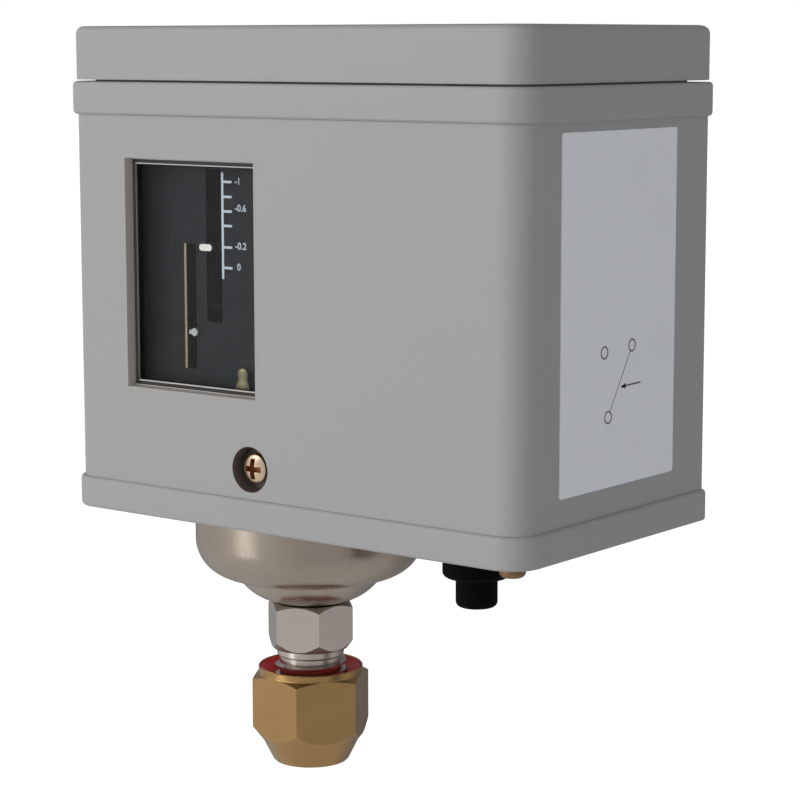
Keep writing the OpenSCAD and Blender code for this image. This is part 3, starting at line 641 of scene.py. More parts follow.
def shaded(piece: bpy.types.Object, angle: float = 38.0) -> None:
    """Shade a piece smooth, with sharp edges past an angle and flat faces kept flat.

    Args:
        piece: the object to shade.
        angle: the sharpest bend that stays smooth, in degrees.
    """
    for polygon in piece.data.polygons:
        polygon.use_smooth = True
    piece.data.set_sharp_from_angle(angle=math.radians(angle))
    weights = piece.modifiers.new("flat_faces", "WEIGHTED_NORMAL")
    weights.keep_sharp = True
    weights.weight = 80


def added(mesh: bmesh.types.BMesh, name: str) -> bpy.types.Object:
    """Turn a bmesh into an object in the scene and free it.

    Args:
        mesh: the finished bmesh.
        name: the piece's name.

    Returns:
        The new object.
    """
    data = bpy.data.meshes.new(name)
    mesh.to_mesh(data)
    mesh.free()
    piece = bpy.data.objects.new(name, data)
    bpy.context.scene.collection.objects.link(piece)
    return piece


def bevelled(mesh: bmesh.types.BMesh, edges: list, width: float, steps: int, clamp: bool) -> list:
    """Bevel some edges.

    Args:
        mesh: the bmesh to work on.
        edges: the edges.
        width: the bevel's width in metres.
        steps: the number of its steps.
        clamp: whether the bevels stop where they would cross.

    Returns:
        The new faces.
    """
    made = bmesh.ops.bevel(
        mesh,
        geom=edges,
        offset=width,
        offset_type="OFFSET",
        segments=steps,
        profile=0.5,
        affect="EDGES",
        clamp_overlap=clamp,
        material=-1,
    )
    return made["faces"]


def rounded_edges(mesh: bmesh.types.BMesh, width: float, segments: int, angle: float) -> None:
    """Bevel every edge that bends by more than an angle.

    Args:
        mesh: the bmesh to work on.
        width: the bevel's width in metres.
        segments: the number of its steps.
        angle: the least bend in degrees.
    """
    edges = [
        e
        for e in mesh.edges
        if len(e.link_faces) == 2 and e.calc_face_angle(0.0) > math.radians(angle)
    ]
    bevelled(mesh, edges, width, segments, True)


def softened(node: str, width: float, segments: int = 2, angle: float = 28.0) -> bpy.types.Object:
    """A copy of a CAD node whose edges are broken, which stands for the node.

    Args:
        node: the CAD node's name.
        width: the width of the broken edge in metres.
        segments: the number of its steps.
        angle: the least bend that counts as an edge, in degrees.

    Returns:
        The piece, riding on the node's body.
    """
    source = bpy.data.objects[node]
    mesh = bmesh.new()
    mesh.from_mesh(source.data)
    bmesh.ops.remove_doubles(mesh, verts=mesh.verts, dist=CAD_WELD)
    bmesh.ops.dissolve_limit(
        mesh, angle_limit=math.radians(0.4), verts=mesh.verts, edges=mesh.edges
    )
    rounded_edges(mesh, width, segments, angle)
    piece = added(mesh, node + "_skin")
    shaded(piece)
    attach(piece, source["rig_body"])
    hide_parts(node)
    return piece


def revolved(profile: list, centre: Vector, steps: int = 96) -> bmesh.types.BMesh:
    """A closed solid of revolution about an upright axis.

    Args:
        profile: (radius, height) points in metres, from the axis out and back to the axis,
            or a closed ring of them.
        centre: the axis's point at height zero.
        steps: the number of steps round.

    Returns:
        The bmesh.
    """
    mesh = bmesh.new()
    verts = [mesh.verts.new(centre + Vector((r, 0.0, z))) for r, z in profile]
    closed = profile[0][0] > 1e-7
    pairs = list(zip(verts, verts[1:]))
    if closed:
        pairs.append((verts[-1], verts[0]))
    edges = [mesh.edges.new(pair) for pair in pairs]
    bmesh.ops.spin(
        mesh,
        geom=verts + edges,
        cent=centre,
        axis=(0, 0, 1),
        angle=math.tau,
        steps=steps,
        use_merge=True,
        use_duplicate=False,
    )
    bmesh.ops.remove_doubles(mesh, verts=mesh.verts, dist=WELD)
    bmesh.ops.recalc_face_normals(mesh, faces=mesh.faces)
    return mesh


def six_flats(mesh: bmesh.types.BMesh, centre: Vector, across: float, turn: float) -> list:
    """Cut six upright flats on a revolved body.

    Args:
        mesh: the revolved body.
        centre: a point on its axis.
        across: the distance across the flats in metres.
        turn: the direction of a corner in degrees.

    Returns:
        The new flat faces.
    """
    flats = []
    for side in range(6):
        way = math.radians(turn + 30 + 60 * side)
        normal = Vector((math.cos(way), math.sin(way), 0.0))
        cut = bmesh.ops.bisect_plane(
            mesh,
            geom=mesh.verts[:] + mesh.edges[:] + mesh.faces[:],
            dist=FINE_WELD,
            plane_co=centre + normal * across / 2,
            plane_no=normal,
            clear_outer=True,
        )
        rim = [e for e in cut["geom_cut"] if isinstance(e, bmesh.types.BMEdge)]
        filled = bmesh.ops.contextual_create(mesh, geom=rim)
        flats.extend(filled["faces"])
    bmesh.ops.recalc_face_normals(mesh, faces=mesh.faces)
    return flats


def arc(centre: tuple, radius: float, start: float, end: float, steps: int) -> list:
    """Points along an arc of a turned profile.

    Args:
        centre: the arc's centre as (radius, height).
        radius: the arc's radius.
        start: the first direction in degrees.
        end: the last direction in degrees.
        steps: the number of steps.

    Returns:
        The (radius, height) points.
    """
    turns = (math.radians(start + (end - start) * i / steps) for i in range(steps + 1))
    return [(centre[0] + radius * math.cos(a), centre[1] + radius * math.sin(a)) for a in turns]


def slab(size: tuple, middle: tuple = (0.0, 0.0, 0.0)) -> bmesh.types.BMesh:
    """A closed box that is ready to be shaped further.

    Args:
        size: its width, depth and height.
        middle: its middle.

    Returns:
        The bmesh.
    """
    mesh = bmesh.new()
    bmesh.ops.create_cube(mesh, size=1.0)
    bmesh.ops.scale(mesh, vec=size, verts=mesh.verts)
    bmesh.ops.translate(mesh, vec=middle, verts=mesh.verts)
    return mesh


def nested(low: Vector, high: Vector, steps: tuple) -> bmesh.types.BMesh:
    """A closed solid through upright rectangles, each further inside the last.

    Args:
        low: the outer rectangle's lower corner.
        high: its upper corner.
        steps: how far in each rectangle is and its place in depth.

    Returns:
        The bmesh.
    """
    mesh = bmesh.new()
    loops = []
    for inset, depth in steps:
        left, right = low.x + inset, high.x - inset
        bottom, top = low.z + inset, high.z - inset
        corners = ((left, bottom), (right, bottom), (right, top), (left, top))
        loops.append([mesh.verts.new((x, depth, z)) for x, z in corners])
    for first, second in zip(loops, loops[1:]):
        for side in range(4):
            after = (side + 1) % 4
            mesh.faces.new((first[side], first[after], second[after], second[side]))
    mesh.faces.new(loops[0])
    mesh.faces.new(loops[-1])
    bmesh.ops.recalc_face_normals(mesh, faces=mesh.faces)
    return mesh


def joined(parts: list) -> bmesh.types.BMesh:
    """Gather several bmeshes in one and free them.

    Args:
        parts: the bmeshes.

    Returns:
        The bmesh that holds them all.
    """
    whole = bmesh.new()
    for part in parts:
        data = bpy.data.meshes.new("part")
        part.to_mesh(data)
        part.free()
        whole.from_mesh(data)
        bpy.data.meshes.remove(data)
    return whole


@dataclass
class Sight:
    """The camera's line of sight, which places trim on what shows in the photograph."""

    camera: bpy.types.Object
    search: tuple = (200, 700)

    def _axes(self) -> tuple:
        """What turns a place into pixels.

        Returns:
            The camera's place, its turn, the frame's long side and the focal length in pixels.
        """
        lens = self.camera.data
        long_side = max(FRAME_SIZE)
        matrix = self.camera.matrix_world
        focal = long_side * lens.lens / lens.sensor_width
        return matrix.translation.copy(), matrix.to_3x3(), long_side, focal

    def line(self, x: float, y: float) -> tuple:
        """The ray through a point of the image.

        Args:
            x: the point's place across.
            y: the point's place down.

        Returns:
            The ray's start and direction.
        """
        start, turn, long_side, focal = self._axes()
        lens = self.camera.data
        across = x - FRAME_SIZE[0] / 2 + lens.shift_x * long_side
        up = FRAME_SIZE[1] / 2 - y + lens.shift_y * long_side
        return start, (turn @ Vector((across, up, -focal))).normalized()

    def pixel(self, place: Vector) -> tuple:
        """Where a place shows in the image.

        Args:
            place: the place in the frame.

        Returns:
            Its x and y in the image.
        """
        start, turn, long_side, focal = self._axes()
        lens = self.camera.data
        seen = turn.transposed() @ (place - start)
        x = FRAME_SIZE[0] / 2 - lens.shift_x * long_side - seen.x * focal / seen.z
        y = FRAME_SIZE[1] / 2 + lens.shift_y * long_side + seen.y * focal / seen.z
        return x, y

    def spot(self, name: str, carriers: list) -> Vector:
        """The place on the carriers that a named image point shows.

        Args:
            name: the image point's name.
            carriers: the finished pieces that carry what is placed.

        Returns:
            The place, or the place nearest the ray where it misses.
        """
        start, way = self.line(*IMAGE_POINTS[name])
        view = bpy.context.evaluated_depsgraph_get()
        trees = [BVHTree.FromObject(carrier, view) for carrier in carriers]
        hits = [hit[0] for hit in (tree.ray_cast(start, way) for tree in trees) if hit[0]]
        if hits:
            return min(hits, key=lambda place: (place - start).length)
        LOG.warning("image point %s misses its carrier", name)
        near = []
        for step in range(*self.search):
            for tree in trees:
                found = tree.find_nearest(start + way * step * MM)
                near.append((found[3], found[0]))
        return min(near, key=lambda pair: pair[0])[1]


class Measure(Enum):
    """Which part of what shows an image point stands for."""

    MIDDLE = (0, 0)
    LEFT = (-1, 0)
    RIGHT = (1, 0)
    TOP = (0, -1)
    BOTTOM = (0, 1)
    UPPER_LEFT = (-1, -1)
    UPPER_RIGHT = (1, -1)
    LOWER_LEFT = (-1, 1)
    LOWER_RIGHT = (1, 1)


@dataclass
class PointReport:
    """How far each thing shows from its image point."""

    sight: Sight
    see_through: tuple = ("window_pane_skin",)
    slack: float = 0.12 * MM
    near: float = 14.0
    rows: dict = field(default_factory=dict)
    tree: BVHTree | None = None

    def survey(self) -> None:
        """Gather every finished surface that can hide another."""
        view = bpy.context.evaluated_depsgraph_get()
        whole = bmesh.new()
        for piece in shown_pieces():
            if piece.type != "MESH" or piece.name in self.see_through:
                continue
            finished = piece.evaluated_get(view)
            data = finished.to_mesh()
            data.transform(piece.matrix_world)
            whole.from_mesh(data)
            finished.to_mesh_clear()
        self.tree = BVHTree.FromBMesh(whole)
        whole.free()

    def _shows(self, place: Vector) -> bool:
        """Whether nothing stands between the camera and a place.

        Args:
            place: the place in the frame.

        Returns:
            True if the place shows.
        """
        start = self.sight.camera.matrix_world.translation
        gap = place - start
        hit = self.tree.ray_cast(start, gap.normalized(), gap.length - self.slack)
        return hit[0] is None

    def _furthest(self, spots: list, across: float, down: float) -> tuple:
        """The vertex that shows furthest in one direction of the image.

        Args:
            spots: (x, y, place) of each vertex.
            across: the direction's share across.
            down: the direction's share down.

        Returns:
            Its x and y in the image.
        """
        ordered = sorted(spots, key=lambda s: -(s[0] * across + s[1] * down))
        for x, y, place in ordered:
            if self._shows(place):
                return x, y
        return ordered[0][:2]

    def add(self, name: str, pieces: list, measure: Measure, before: float = 1.0) -> None:
        """Measure one image point.

        Args:
            name: the image point's name.
            pieces: the pieces that show there.
            measure: the part of them that the point stands for.
            before: only what lies in front of this depth counts.
        """
        view = bpy.context.evaluated_depsgraph_get()
        want = IMAGE_POINTS[name]
        spots = []
        for piece in pieces:
            data = piece.evaluated_get(view).to_mesh()
            for vertex in data.vertices:
                place = piece.matrix_world @ vertex.co
                if place.y < before:
                    spots.append((*self.sight.pixel(place), place))
        across, down = measure.value
        if measure is Measure.MIDDLE:
            left, right = (self._furthest(spots, a, 0)[0] for a in (-1, 1))
            top, bottom = (self._furthest(spots, 0, d)[1] for d in (-1, 1))
            shown = ((left + right) / 2, (top + bottom) / 2)
        elif across and down:
            close = [s for s in spots if math.dist(s[:2], want) < self.near]
            shown = self._furthest(close or spots, across, down)
        else:
            edge = self._furthest(spots, across, down)
            shown = (edge[0], want[1]) if across else (want[0], edge[1])
        self.rows[name] = [round(shown[0] - want[0], 2), round(shown[1] - want[1], 2)]
        LOG.info("image point %s: off by %.1f, %.1f", name, *self.rows[name])

    def write(self) -> None:
        """Do nothing; the distances stay in rows and in the log."""


@dataclass
class Housing:
    """The grey cover and cap, with the cover screw, the label and its contact symbol."""

    finishes: Finishes
    sight: Sight
    edge: float = 0.35 * MM
    well_r: float = 3.5 * MM
    recess_r: float = 1.6 * MM
    recess_skin: float = 0.32 * MM
    label_t: float = 0.12 * MM
    label_corner: float = 0.4 * MM
    print_t: float = 0.025 * MM
    ring_r: float = 0.93 * MM
    line_w: float = 0.2 * MM
    lever_w: float = 0.11 * MM
    head_r: float = 0.62 * MM
    head_stretch: tuple = (1.5, 0.75, 1.0)
    head_lead: float = 0.5 * MM
    rings: tuple = ((-4.31, 4.38), (2.75, 4.79), (-3.23, -4.75))
    lever: tuple = ((-2.75, -3.95), (2.3, 4.0))
    arrow: tuple = ((0.25, -0.8), (5.05, -0.68))

    def build(self) -> dict:
        """Make the pieces.

        Returns:
            The pieces by name.
        """
        cover = softened("front_cover", self.edge, 3, 20.0)
        cap = softened("top_cap", self.edge, 3, 20.0)
        for piece in (cover, cap):
            self.finishes.paint(piece, "cover_grey")
        self._paint_well_shade(cover)
        self._paint_wall_light(cover)
        screw = softened("cover_screw", 0.12 * MM)
        self.finishes.paint(screw, "screw_bronze")
        self._paint_recess_shade(screw)
        label = self._label(cover)
        symbol = self._symbol(label)
        return {"cover": cover, "cap": cap, "screw": screw, "label": label, "symbol": symbol}

    def _paint_well_shade(self, cover: bpy.types.Object) -> None:
        """Paint shade inside the screw's well: a darker finish stands in for the shadow in its recess.

        Args:
            cover: the finished cover.
        """
        low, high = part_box("cover_screw")
        axis = (low + high) / 2
        # painted shade: faces close round the screw's axis get the darker finish
        cover.data.materials.append(self.finishes.made["painted_well_shade"])
        for polygon in cover.data.polygons:
            rim = [cover.data.vertices[v].co - axis for v in polygon.vertices]
            if max(math.hypot(off.x, off.z) for off in rim) < self.well_r:
                polygon.material_index = 1

    def _paint_wall_light(self, cover: bpy.types.Object) -> None:
        """Paint light on the side walls of the window opening: a paler grey stands in for light on walls
        that lie in shade.

        Args:
            cover: the finished cover.
        """
        low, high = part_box("window_pane")
        # painted light: the opening's side walls get the paler finish
        cover.data.materials.append(self.finishes.made["painted_wall_light"])
        for polygon in cover.data.polygons:
            centre = polygon.center
            inside = low.x < centre.x < high.x and low.z < centre.z < high.z
            if inside and centre.y < high.y and abs(polygon.normal.y) < 0.3:
                polygon.material_index = 2

    def _paint_recess_shade(self, screw: bpy.types.Object) -> None:
        """Paint shade in the cross of the screw's head: a darker finish stands in for the shadow in the
        recess.

        Args:
            screw: the finished screw.
        """
        low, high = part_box("cover_screw")
        # painted shade: deep faces near the axis get the darker finish
        screw.data.materials.append(self.finishes.made["screw_recess_shade"])
        for polygon in screw.data.polygons:
            off = polygon.center - (low + high) / 2
            deep = polygon.center.y > low.y + self.recess_skin
            if math.hypot(off.x, off.z) < self.recess_r and deep:
                polygon.material_index = 1

    def _label(self, cover: bpy.types.Object) -> bpy.types.Object:
        """The blank label on the right wall of the cover.

        Args:
            cover: the finished cover.

        Returns:
            The label.
        """
        first = self.sight.spot("label_upper_left", [cover])
        last = self.sight.spot("label_lower_right", [cover])
        middle = (first + last) / 2
        size = (self.label_t, abs(last.y - first.y), abs(first.z - last.z))
        mesh = slab(size, (first.x + self.label_t / 2, middle.y, middle.z))
        corners = [
            e for e in mesh.edges if abs((e.verts[0].co - e.verts[1].co).x) > self.label_t / 2
        ]
        bevelled(mesh, corners, self.label_corner, 5, False)
        label = added(mesh, "label")
        shaded(label)
        self.finishes.paint(label, "label_paper")
        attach(label, bpy.data.objects["front_cover"]["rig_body"])
        return label

    def _symbol(self, label: bpy.types.Object) -> bpy.types.Object:
        """The changeover contact's symbol: three rings, a lever and the arrow on it.

        Args:
            label: the label that carries it.

        Returns:
            The printed symbol.
        """
        middle = self.sight.spot("contact_symbol", [label])
        parts = [self._ring(Vector(ring) * MM) for ring in self.rings]
        parts.append(self._stroke(*(Vector(end) * MM for end in self.lever), self.lever_w))
        tip, tail = (Vector(end) * MM for end in self.arrow)
        parts.append(self._stroke(tip, tail, self.line_w))
        parts.append(self._head(tip))
        mesh = joined(parts)
        lift = Matrix.Translation(middle) @ Matrix(((0, 0, 1), (1, 0, 0), (0, 1, 0))).to_4x4()
        bmesh.ops.transform(mesh, matrix=lift, verts=mesh.verts)
        bmesh.ops.recalc_face_normals(mesh, faces=mesh.faces)
        symbol = added(mesh, "contact_symbol")
        self.finishes.paint(symbol, "label_ink")
        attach(symbol, bpy.data.objects["front_cover"]["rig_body"])
        return symbol

    def _ring(self, middle: Vector) -> bmesh.types.BMesh:
        """A printed ring in the plane of the label.

        Args:
            middle: its middle in that plane.

        Returns:
            The bmesh.
        """
        inner = self.ring_r - self.line_w
        section = [
            (self.ring_r, 0.0), (self.ring_r, self.print_t), (inner, self.print_t), (inner, 0.0),
        ]
        return revolved(section, Vector((middle.x, middle.y, 0.0)), 40)

    def _stroke(self, start: Vector, end: Vector, width: float) -> bmesh.types.BMesh:
        """A printed line in the plane of the label.

        Args:
            start: its first end in that plane.
            end: its last end.
            width: its width.

        Returns:
            The bmesh.
        """
        way = end - start
        mesh = slab((way.length, width, self.print_t))
        place = Matrix.Translation((*((start + end) / 2), self.print_t / 2))
        turn = Matrix.Rotation(math.atan2(way.y, way.x), 4, "Z")
        bmesh.ops.transform(mesh, matrix=place @ turn, verts=mesh.verts)
        return mesh

    def _head(self, tip: Vector) -> bmesh.types.BMesh:
        """The arrow's printed head.

        Args:
            tip: the end of the arrow's line.

        Returns:
            The bmesh.
        """
        mesh = bmesh.new()
        bmesh.ops.create_circle(mesh, cap_ends=True, radius=self.head_r, segments=3)
        bmesh.ops.rotate(mesh, verts=mesh.verts, matrix=Matrix.Rotation(math.radians(90), 3, "Z"))
        bmesh.ops.scale(mesh, vec=self.head_stretch, verts=mesh.verts)
        grown = bmesh.ops.extrude_face_region(mesh, geom=mesh.faces[:])
        tops = [v for v in grown["geom"] if isinstance(v, bmesh.types.BMVert)]
        bmesh.ops.translate(mesh, vec=(0, 0, self.print_t), verts=tops)
        bmesh.ops.translate(mesh, vec=(tip.x + self.head_lead, tip.y, 0), verts=mesh.verts)
        return mesh


@dataclass
class Dial:
    """What shows through the window: the pane, the dial with its print and the pointers."""

    finishes: Finishes
    sight: Sight
    print_t: float = 0.03 * MM
    line_w: float = 0.42 * MM
    tick: tuple = (1.8 * MM, 0.36 * MM)
    tick_drops: tuple = (1.33, 3.51, 5.63, 7.74, 10.89, 13.9)
    numbers: tuple = (("-1", 0.0), ("-0.6", 3.89), ("-0.2", 9.41), ("0", 12.47))
    text_size: float = 1.42 * MM
    stud_line: tuple = (
        (0.0, 1.15), (0.5, 1.06), (0.92, 0.74), (1.08, 0.25), (1.0, -0.25), (0.94, -0.55),
        (1.08, -0.85), (1.3, -1.25), (1.42, -1.65), (1.42, -1.9), (0.0, -1.9),
    )
    stud_flat: float = 0.42
    stud_lift: tuple = (0.75, 0.45)
    pane_rim: tuple = (0.9 * MM, 1.1 * MM)
    pane_flange: tuple = (2.4 * MM, 1.0 * MM)
    # the width of the bevel that carries the painted highlight
    pane_painted_highlight: float = 0.18 * MM
    guide_w: float = 0.46 * MM
    dial_edge: float = 0.15 * MM
    pointer_edge: float = 0.3 * MM
    tip_w: float = 2.3 * MM
    ball_w: float = 0.95 * MM

    def build(self) -> dict:
        """Make the pieces.

        Returns:
            The pieces by name.
        """
        made = {"pane": self._pane()}
        for node, finish, slot, edge in (
            ("scale_plate", "dial_grey", "dark_dial", self.dial_edge),
            ("range_pointer", "pointer_cream", "pale_pointer", self.pointer_edge),
            ("diff_pointer", "pointer_grey", "pale_pointer", self.pointer_edge),
        ):
            made[node] = softened(node, edge, 4)
            self.finishes.paint(made[node], finish)
        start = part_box("range_pointer")[0].x
        self._paint_stem_shade(made["range_pointer"], start, start + self.tip_w)
        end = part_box("diff_pointer")[1].x
        self._paint_stem_shade(made["diff_pointer"], end - self.ball_w, end)
        made["pointer_guide"] = self._guide()
        made["scale_print"] = self._scale(made["scale_plate"])
        made.update(self._numbers(made["scale_plate"]))
        made.update(self._stud(made["scale_plate"]))
        return made

    def _paint_stem_shade(self, pointer: bpy.types.Object, start: float, end: float) -> None:
        """Paint shade on the part of a pointer that leads away from its tip: a dark finish stands in for
        the shadow it runs into.

        Args:
            pointer: the finished pointer.
            start: where the tip begins, across the dial.
            end: where it ends.
        """
        dial_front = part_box("scale_plate")[0].y
        # painted shade: faces behind the dial front or away from the tip get the dark finish
        pointer.data.materials.append(self.finishes.made["pointer_stem_shade"])
        for polygon in pointer.data.polygons:
            sunk = polygon.center.y > dial_front - 0.1 * MM
            if sunk or not start <= polygon.center.x <= end:
                polygon.material_index = 1

    def _guide(self) -> bpy.types.Object:
        """The brass strip along the left edge of the pointer's slot.

        Returns:
            The strip.
        """
        low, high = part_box("pointer_guide")
        size = (self.guide_w, high.y - low.y, high.z - low.z)
        middle = (low.x + self.guide_w / 2, (low.y + high.y) / 2 - 0.1 * MM, (low.z + high.z) / 2)
        mesh = slab(size, middle)
        rounded_edges(mesh, 0.1 * MM, 3, 30.0)
        guide = added(mesh, "pointer_guide_skin")
        shaded(guide)
        self.finishes.paint(guide, "guide_brass")
        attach(guide, bpy.data.objects["pointer_guide"]["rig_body"])
        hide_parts("pointer_guide")
        return guide

    def _pane(self) -> bpy.types.Object:
        """The clear pane: a plate behind the wall, with a raised rim whose bevelled edge carries a
        painted highlight and whose front carries painted shade.

        Returns:
            The pane.
        """
        low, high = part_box("window_pane")
        flange, thick = self.pane_flange
        width, proud = self.pane_rim
        front = high.y - thick
        edge = flange + 0.05 * MM
        steps = (
            (0.0, high.y), (0.0, front), (edge, front), (edge, front - proud),
            (edge + width, front - proud), (edge + width, front),
        )
        mesh = nested(low, high, steps)
        mesh.normal_update()
        edges = [
            e for e in mesh.edges if all(v.co.y < front - proud / 2 for v in e.verts)
            and e.calc_face_angle(0.0) > 1.0
        ]
        slopes = bevelled(mesh, edges, self.pane_painted_highlight, 2, False)
        bmesh.ops.recalc_face_normals(mesh, faces=mesh.faces)
        mesh.faces.index_update()
        middle = (low.x + high.x) / 2
        # painted highlight: bevel faces at the top, bottom and right get the pale, nearly opaque finish
        highlight_faces = {
            f.index for f in slopes
            if f.calc_center_median().x > middle or abs(f.normal.z) > abs(f.normal.x)
        }
        # painted shade: the rim's front faces get the dark, nearly opaque finish for the shadow gap round
        # the opening
        rim = {
            f.index for f in mesh.faces
            if f.normal.y < -0.9 and f.calc_center_median().y < front - proud / 2
        }
        pane = added(mesh, "window_pane_skin")
        shaded(pane)
        self.finishes.paint(pane, "clear_pane")
        for name, faces in (("pane_rim", rim), ("pane_painted_highlight", highlight_faces)):
            pane.data.materials.append(self.finishes.made[name])
            for index in faces:
                pane.data.polygons[index].material_index = len(pane.data.materials) - 1
        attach(pane, bpy.data.objects["window_pane"]["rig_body"])
        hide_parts("window_pane")
        return pane

    def _dressed(self, mesh: bmesh.types.BMesh, name: str, finish: str) -> bpy.types.Object:
        """Finish a small piece that sits on the dial.

        Args:
            mesh: the piece's shape.
            name: its name.
            finish: the finish's name.

        Returns:
            The piece.
        """
        piece = added(mesh, name)
        shaded(piece)
        self.finishes.paint(piece, finish)
        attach(piece, bpy.data.objects["scale_plate"]["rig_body"])
        return piece

    def _scale(self, dial: bpy.types.Object) -> bpy.types.Object:
        """The printed line of the scale and its ticks.

        Args:
            dial: the finished dial.

        Returns:
            The printed scale.
        """
        top = self.sight.spot("scale_top", [dial])
        low = self.sight.spot("scale_low", [dial])
        x = (top.x + low.x) / 2
        y = top.y - self.print_t / 2
        parts = [
            slab((self.line_w, self.print_t, top.z - low.z), (x, y, (top.z + low.z) / 2))
        ]
        length, width = self.tick
        for drop in self.tick_drops:
            place = (x + length / 2, y, top.z - drop * MM)
            parts.append(slab((length, self.print_t * 1.1, width), place))
        return self._dressed(joined(parts), "scale_print", "dial_white")

    def _numbers(self, dial: bpy.types.Object) -> dict:
        """The plain numbers beside the scale.

        Args:
            dial: the finished dial.

        Returns:
            The printed numbers by name.
        """
        high = self.sight.spot("number_high", [dial])
        zero = self.sight.spot("number_zero", [dial])
        step = (high.z - zero.z) / self.numbers[-1][1]
        made = {}
        left = None
        for count, (words, drop) in enumerate(self.numbers):
            mesh = self._drawn(words)
            wide = max(v.co.x for v in mesh.verts)
            if left is None:
                left = high.x - wide / 2
            start = zero.x - wide / 2 if count == len(self.numbers) - 1 else left
            place = Matrix.Translation((start, high.y - self.print_t / 2, high.z - drop * step))
            turn = Matrix.Rotation(math.radians(90), 4, "X")
            bmesh.ops.transform(mesh, matrix=place @ turn, verts=mesh.verts)
            bmesh.ops.recalc_face_normals(mesh, faces=mesh.faces)
            name = f"dial_number_{count}"
            made[name] = self._dressed(mesh, name, "dial_white")
        return made

    def _drawn(self, words: str) -> bmesh.types.BMesh:
        """A number as a thin solid, from zero to the right and centred in height.

        Args:
            words: the number.

        Returns:
            The bmesh.
        """
        curve = bpy.data.curves.new("number", "FONT")
        curve.body = words
        curve.size = self.text_size
        curve.align_y = "CENTER"
        curve.extrude = self.print_t / 2
        curve.offset = 0.02 * MM
        drawn = bpy.data.objects.new("number", curve)
        bpy.context.scene.collection.objects.link(drawn)
        bpy.context.view_layer.update()
        view = bpy.context.evaluated_depsgraph_get()
        data = bpy.data.meshes.new_from_object(drawn.evaluated_get(view))
        bpy.data.objects.remove(drawn)
        mesh = bmesh.new()
        mesh.from_mesh(data)
        bpy.data.meshes.remove(data)
        bmesh.ops.remove_doubles(mesh, verts=mesh.verts, dist=FINE_WELD)
        first = min(v.co.x for v in mesh.verts)
        bmesh.ops.translate(mesh, vec=(-first, 0, 0), verts=mesh.verts)
        return mesh

    def _stud(self, dial: bpy.types.Object) -> dict:
        """The flattened brass stud in the dial's lower corner.

        Args:
            dial: the finished dial.

        Returns:
            The stud by name.
        """
        spot = self.sight.spot("rivet", [dial])
        right, up = self.stud_lift
        lift = Vector((right, -self.stud_line[-2][0] * self.stud_flat, up)) * MM
        stud = revolved([(r * MM, z * MM) for r, z in self.stud_line], Vector((0, 0, 0)), 48)
        bmesh.ops.scale(stud, vec=(1.0, self.stud_flat, 1.0), verts=stud.verts)
        bmesh.ops.translate(stud, vec=spot + lift, verts=stud.verts)
        return {"dial_stud": self._dressed(stud, "dial_stud", "stud_brass")}


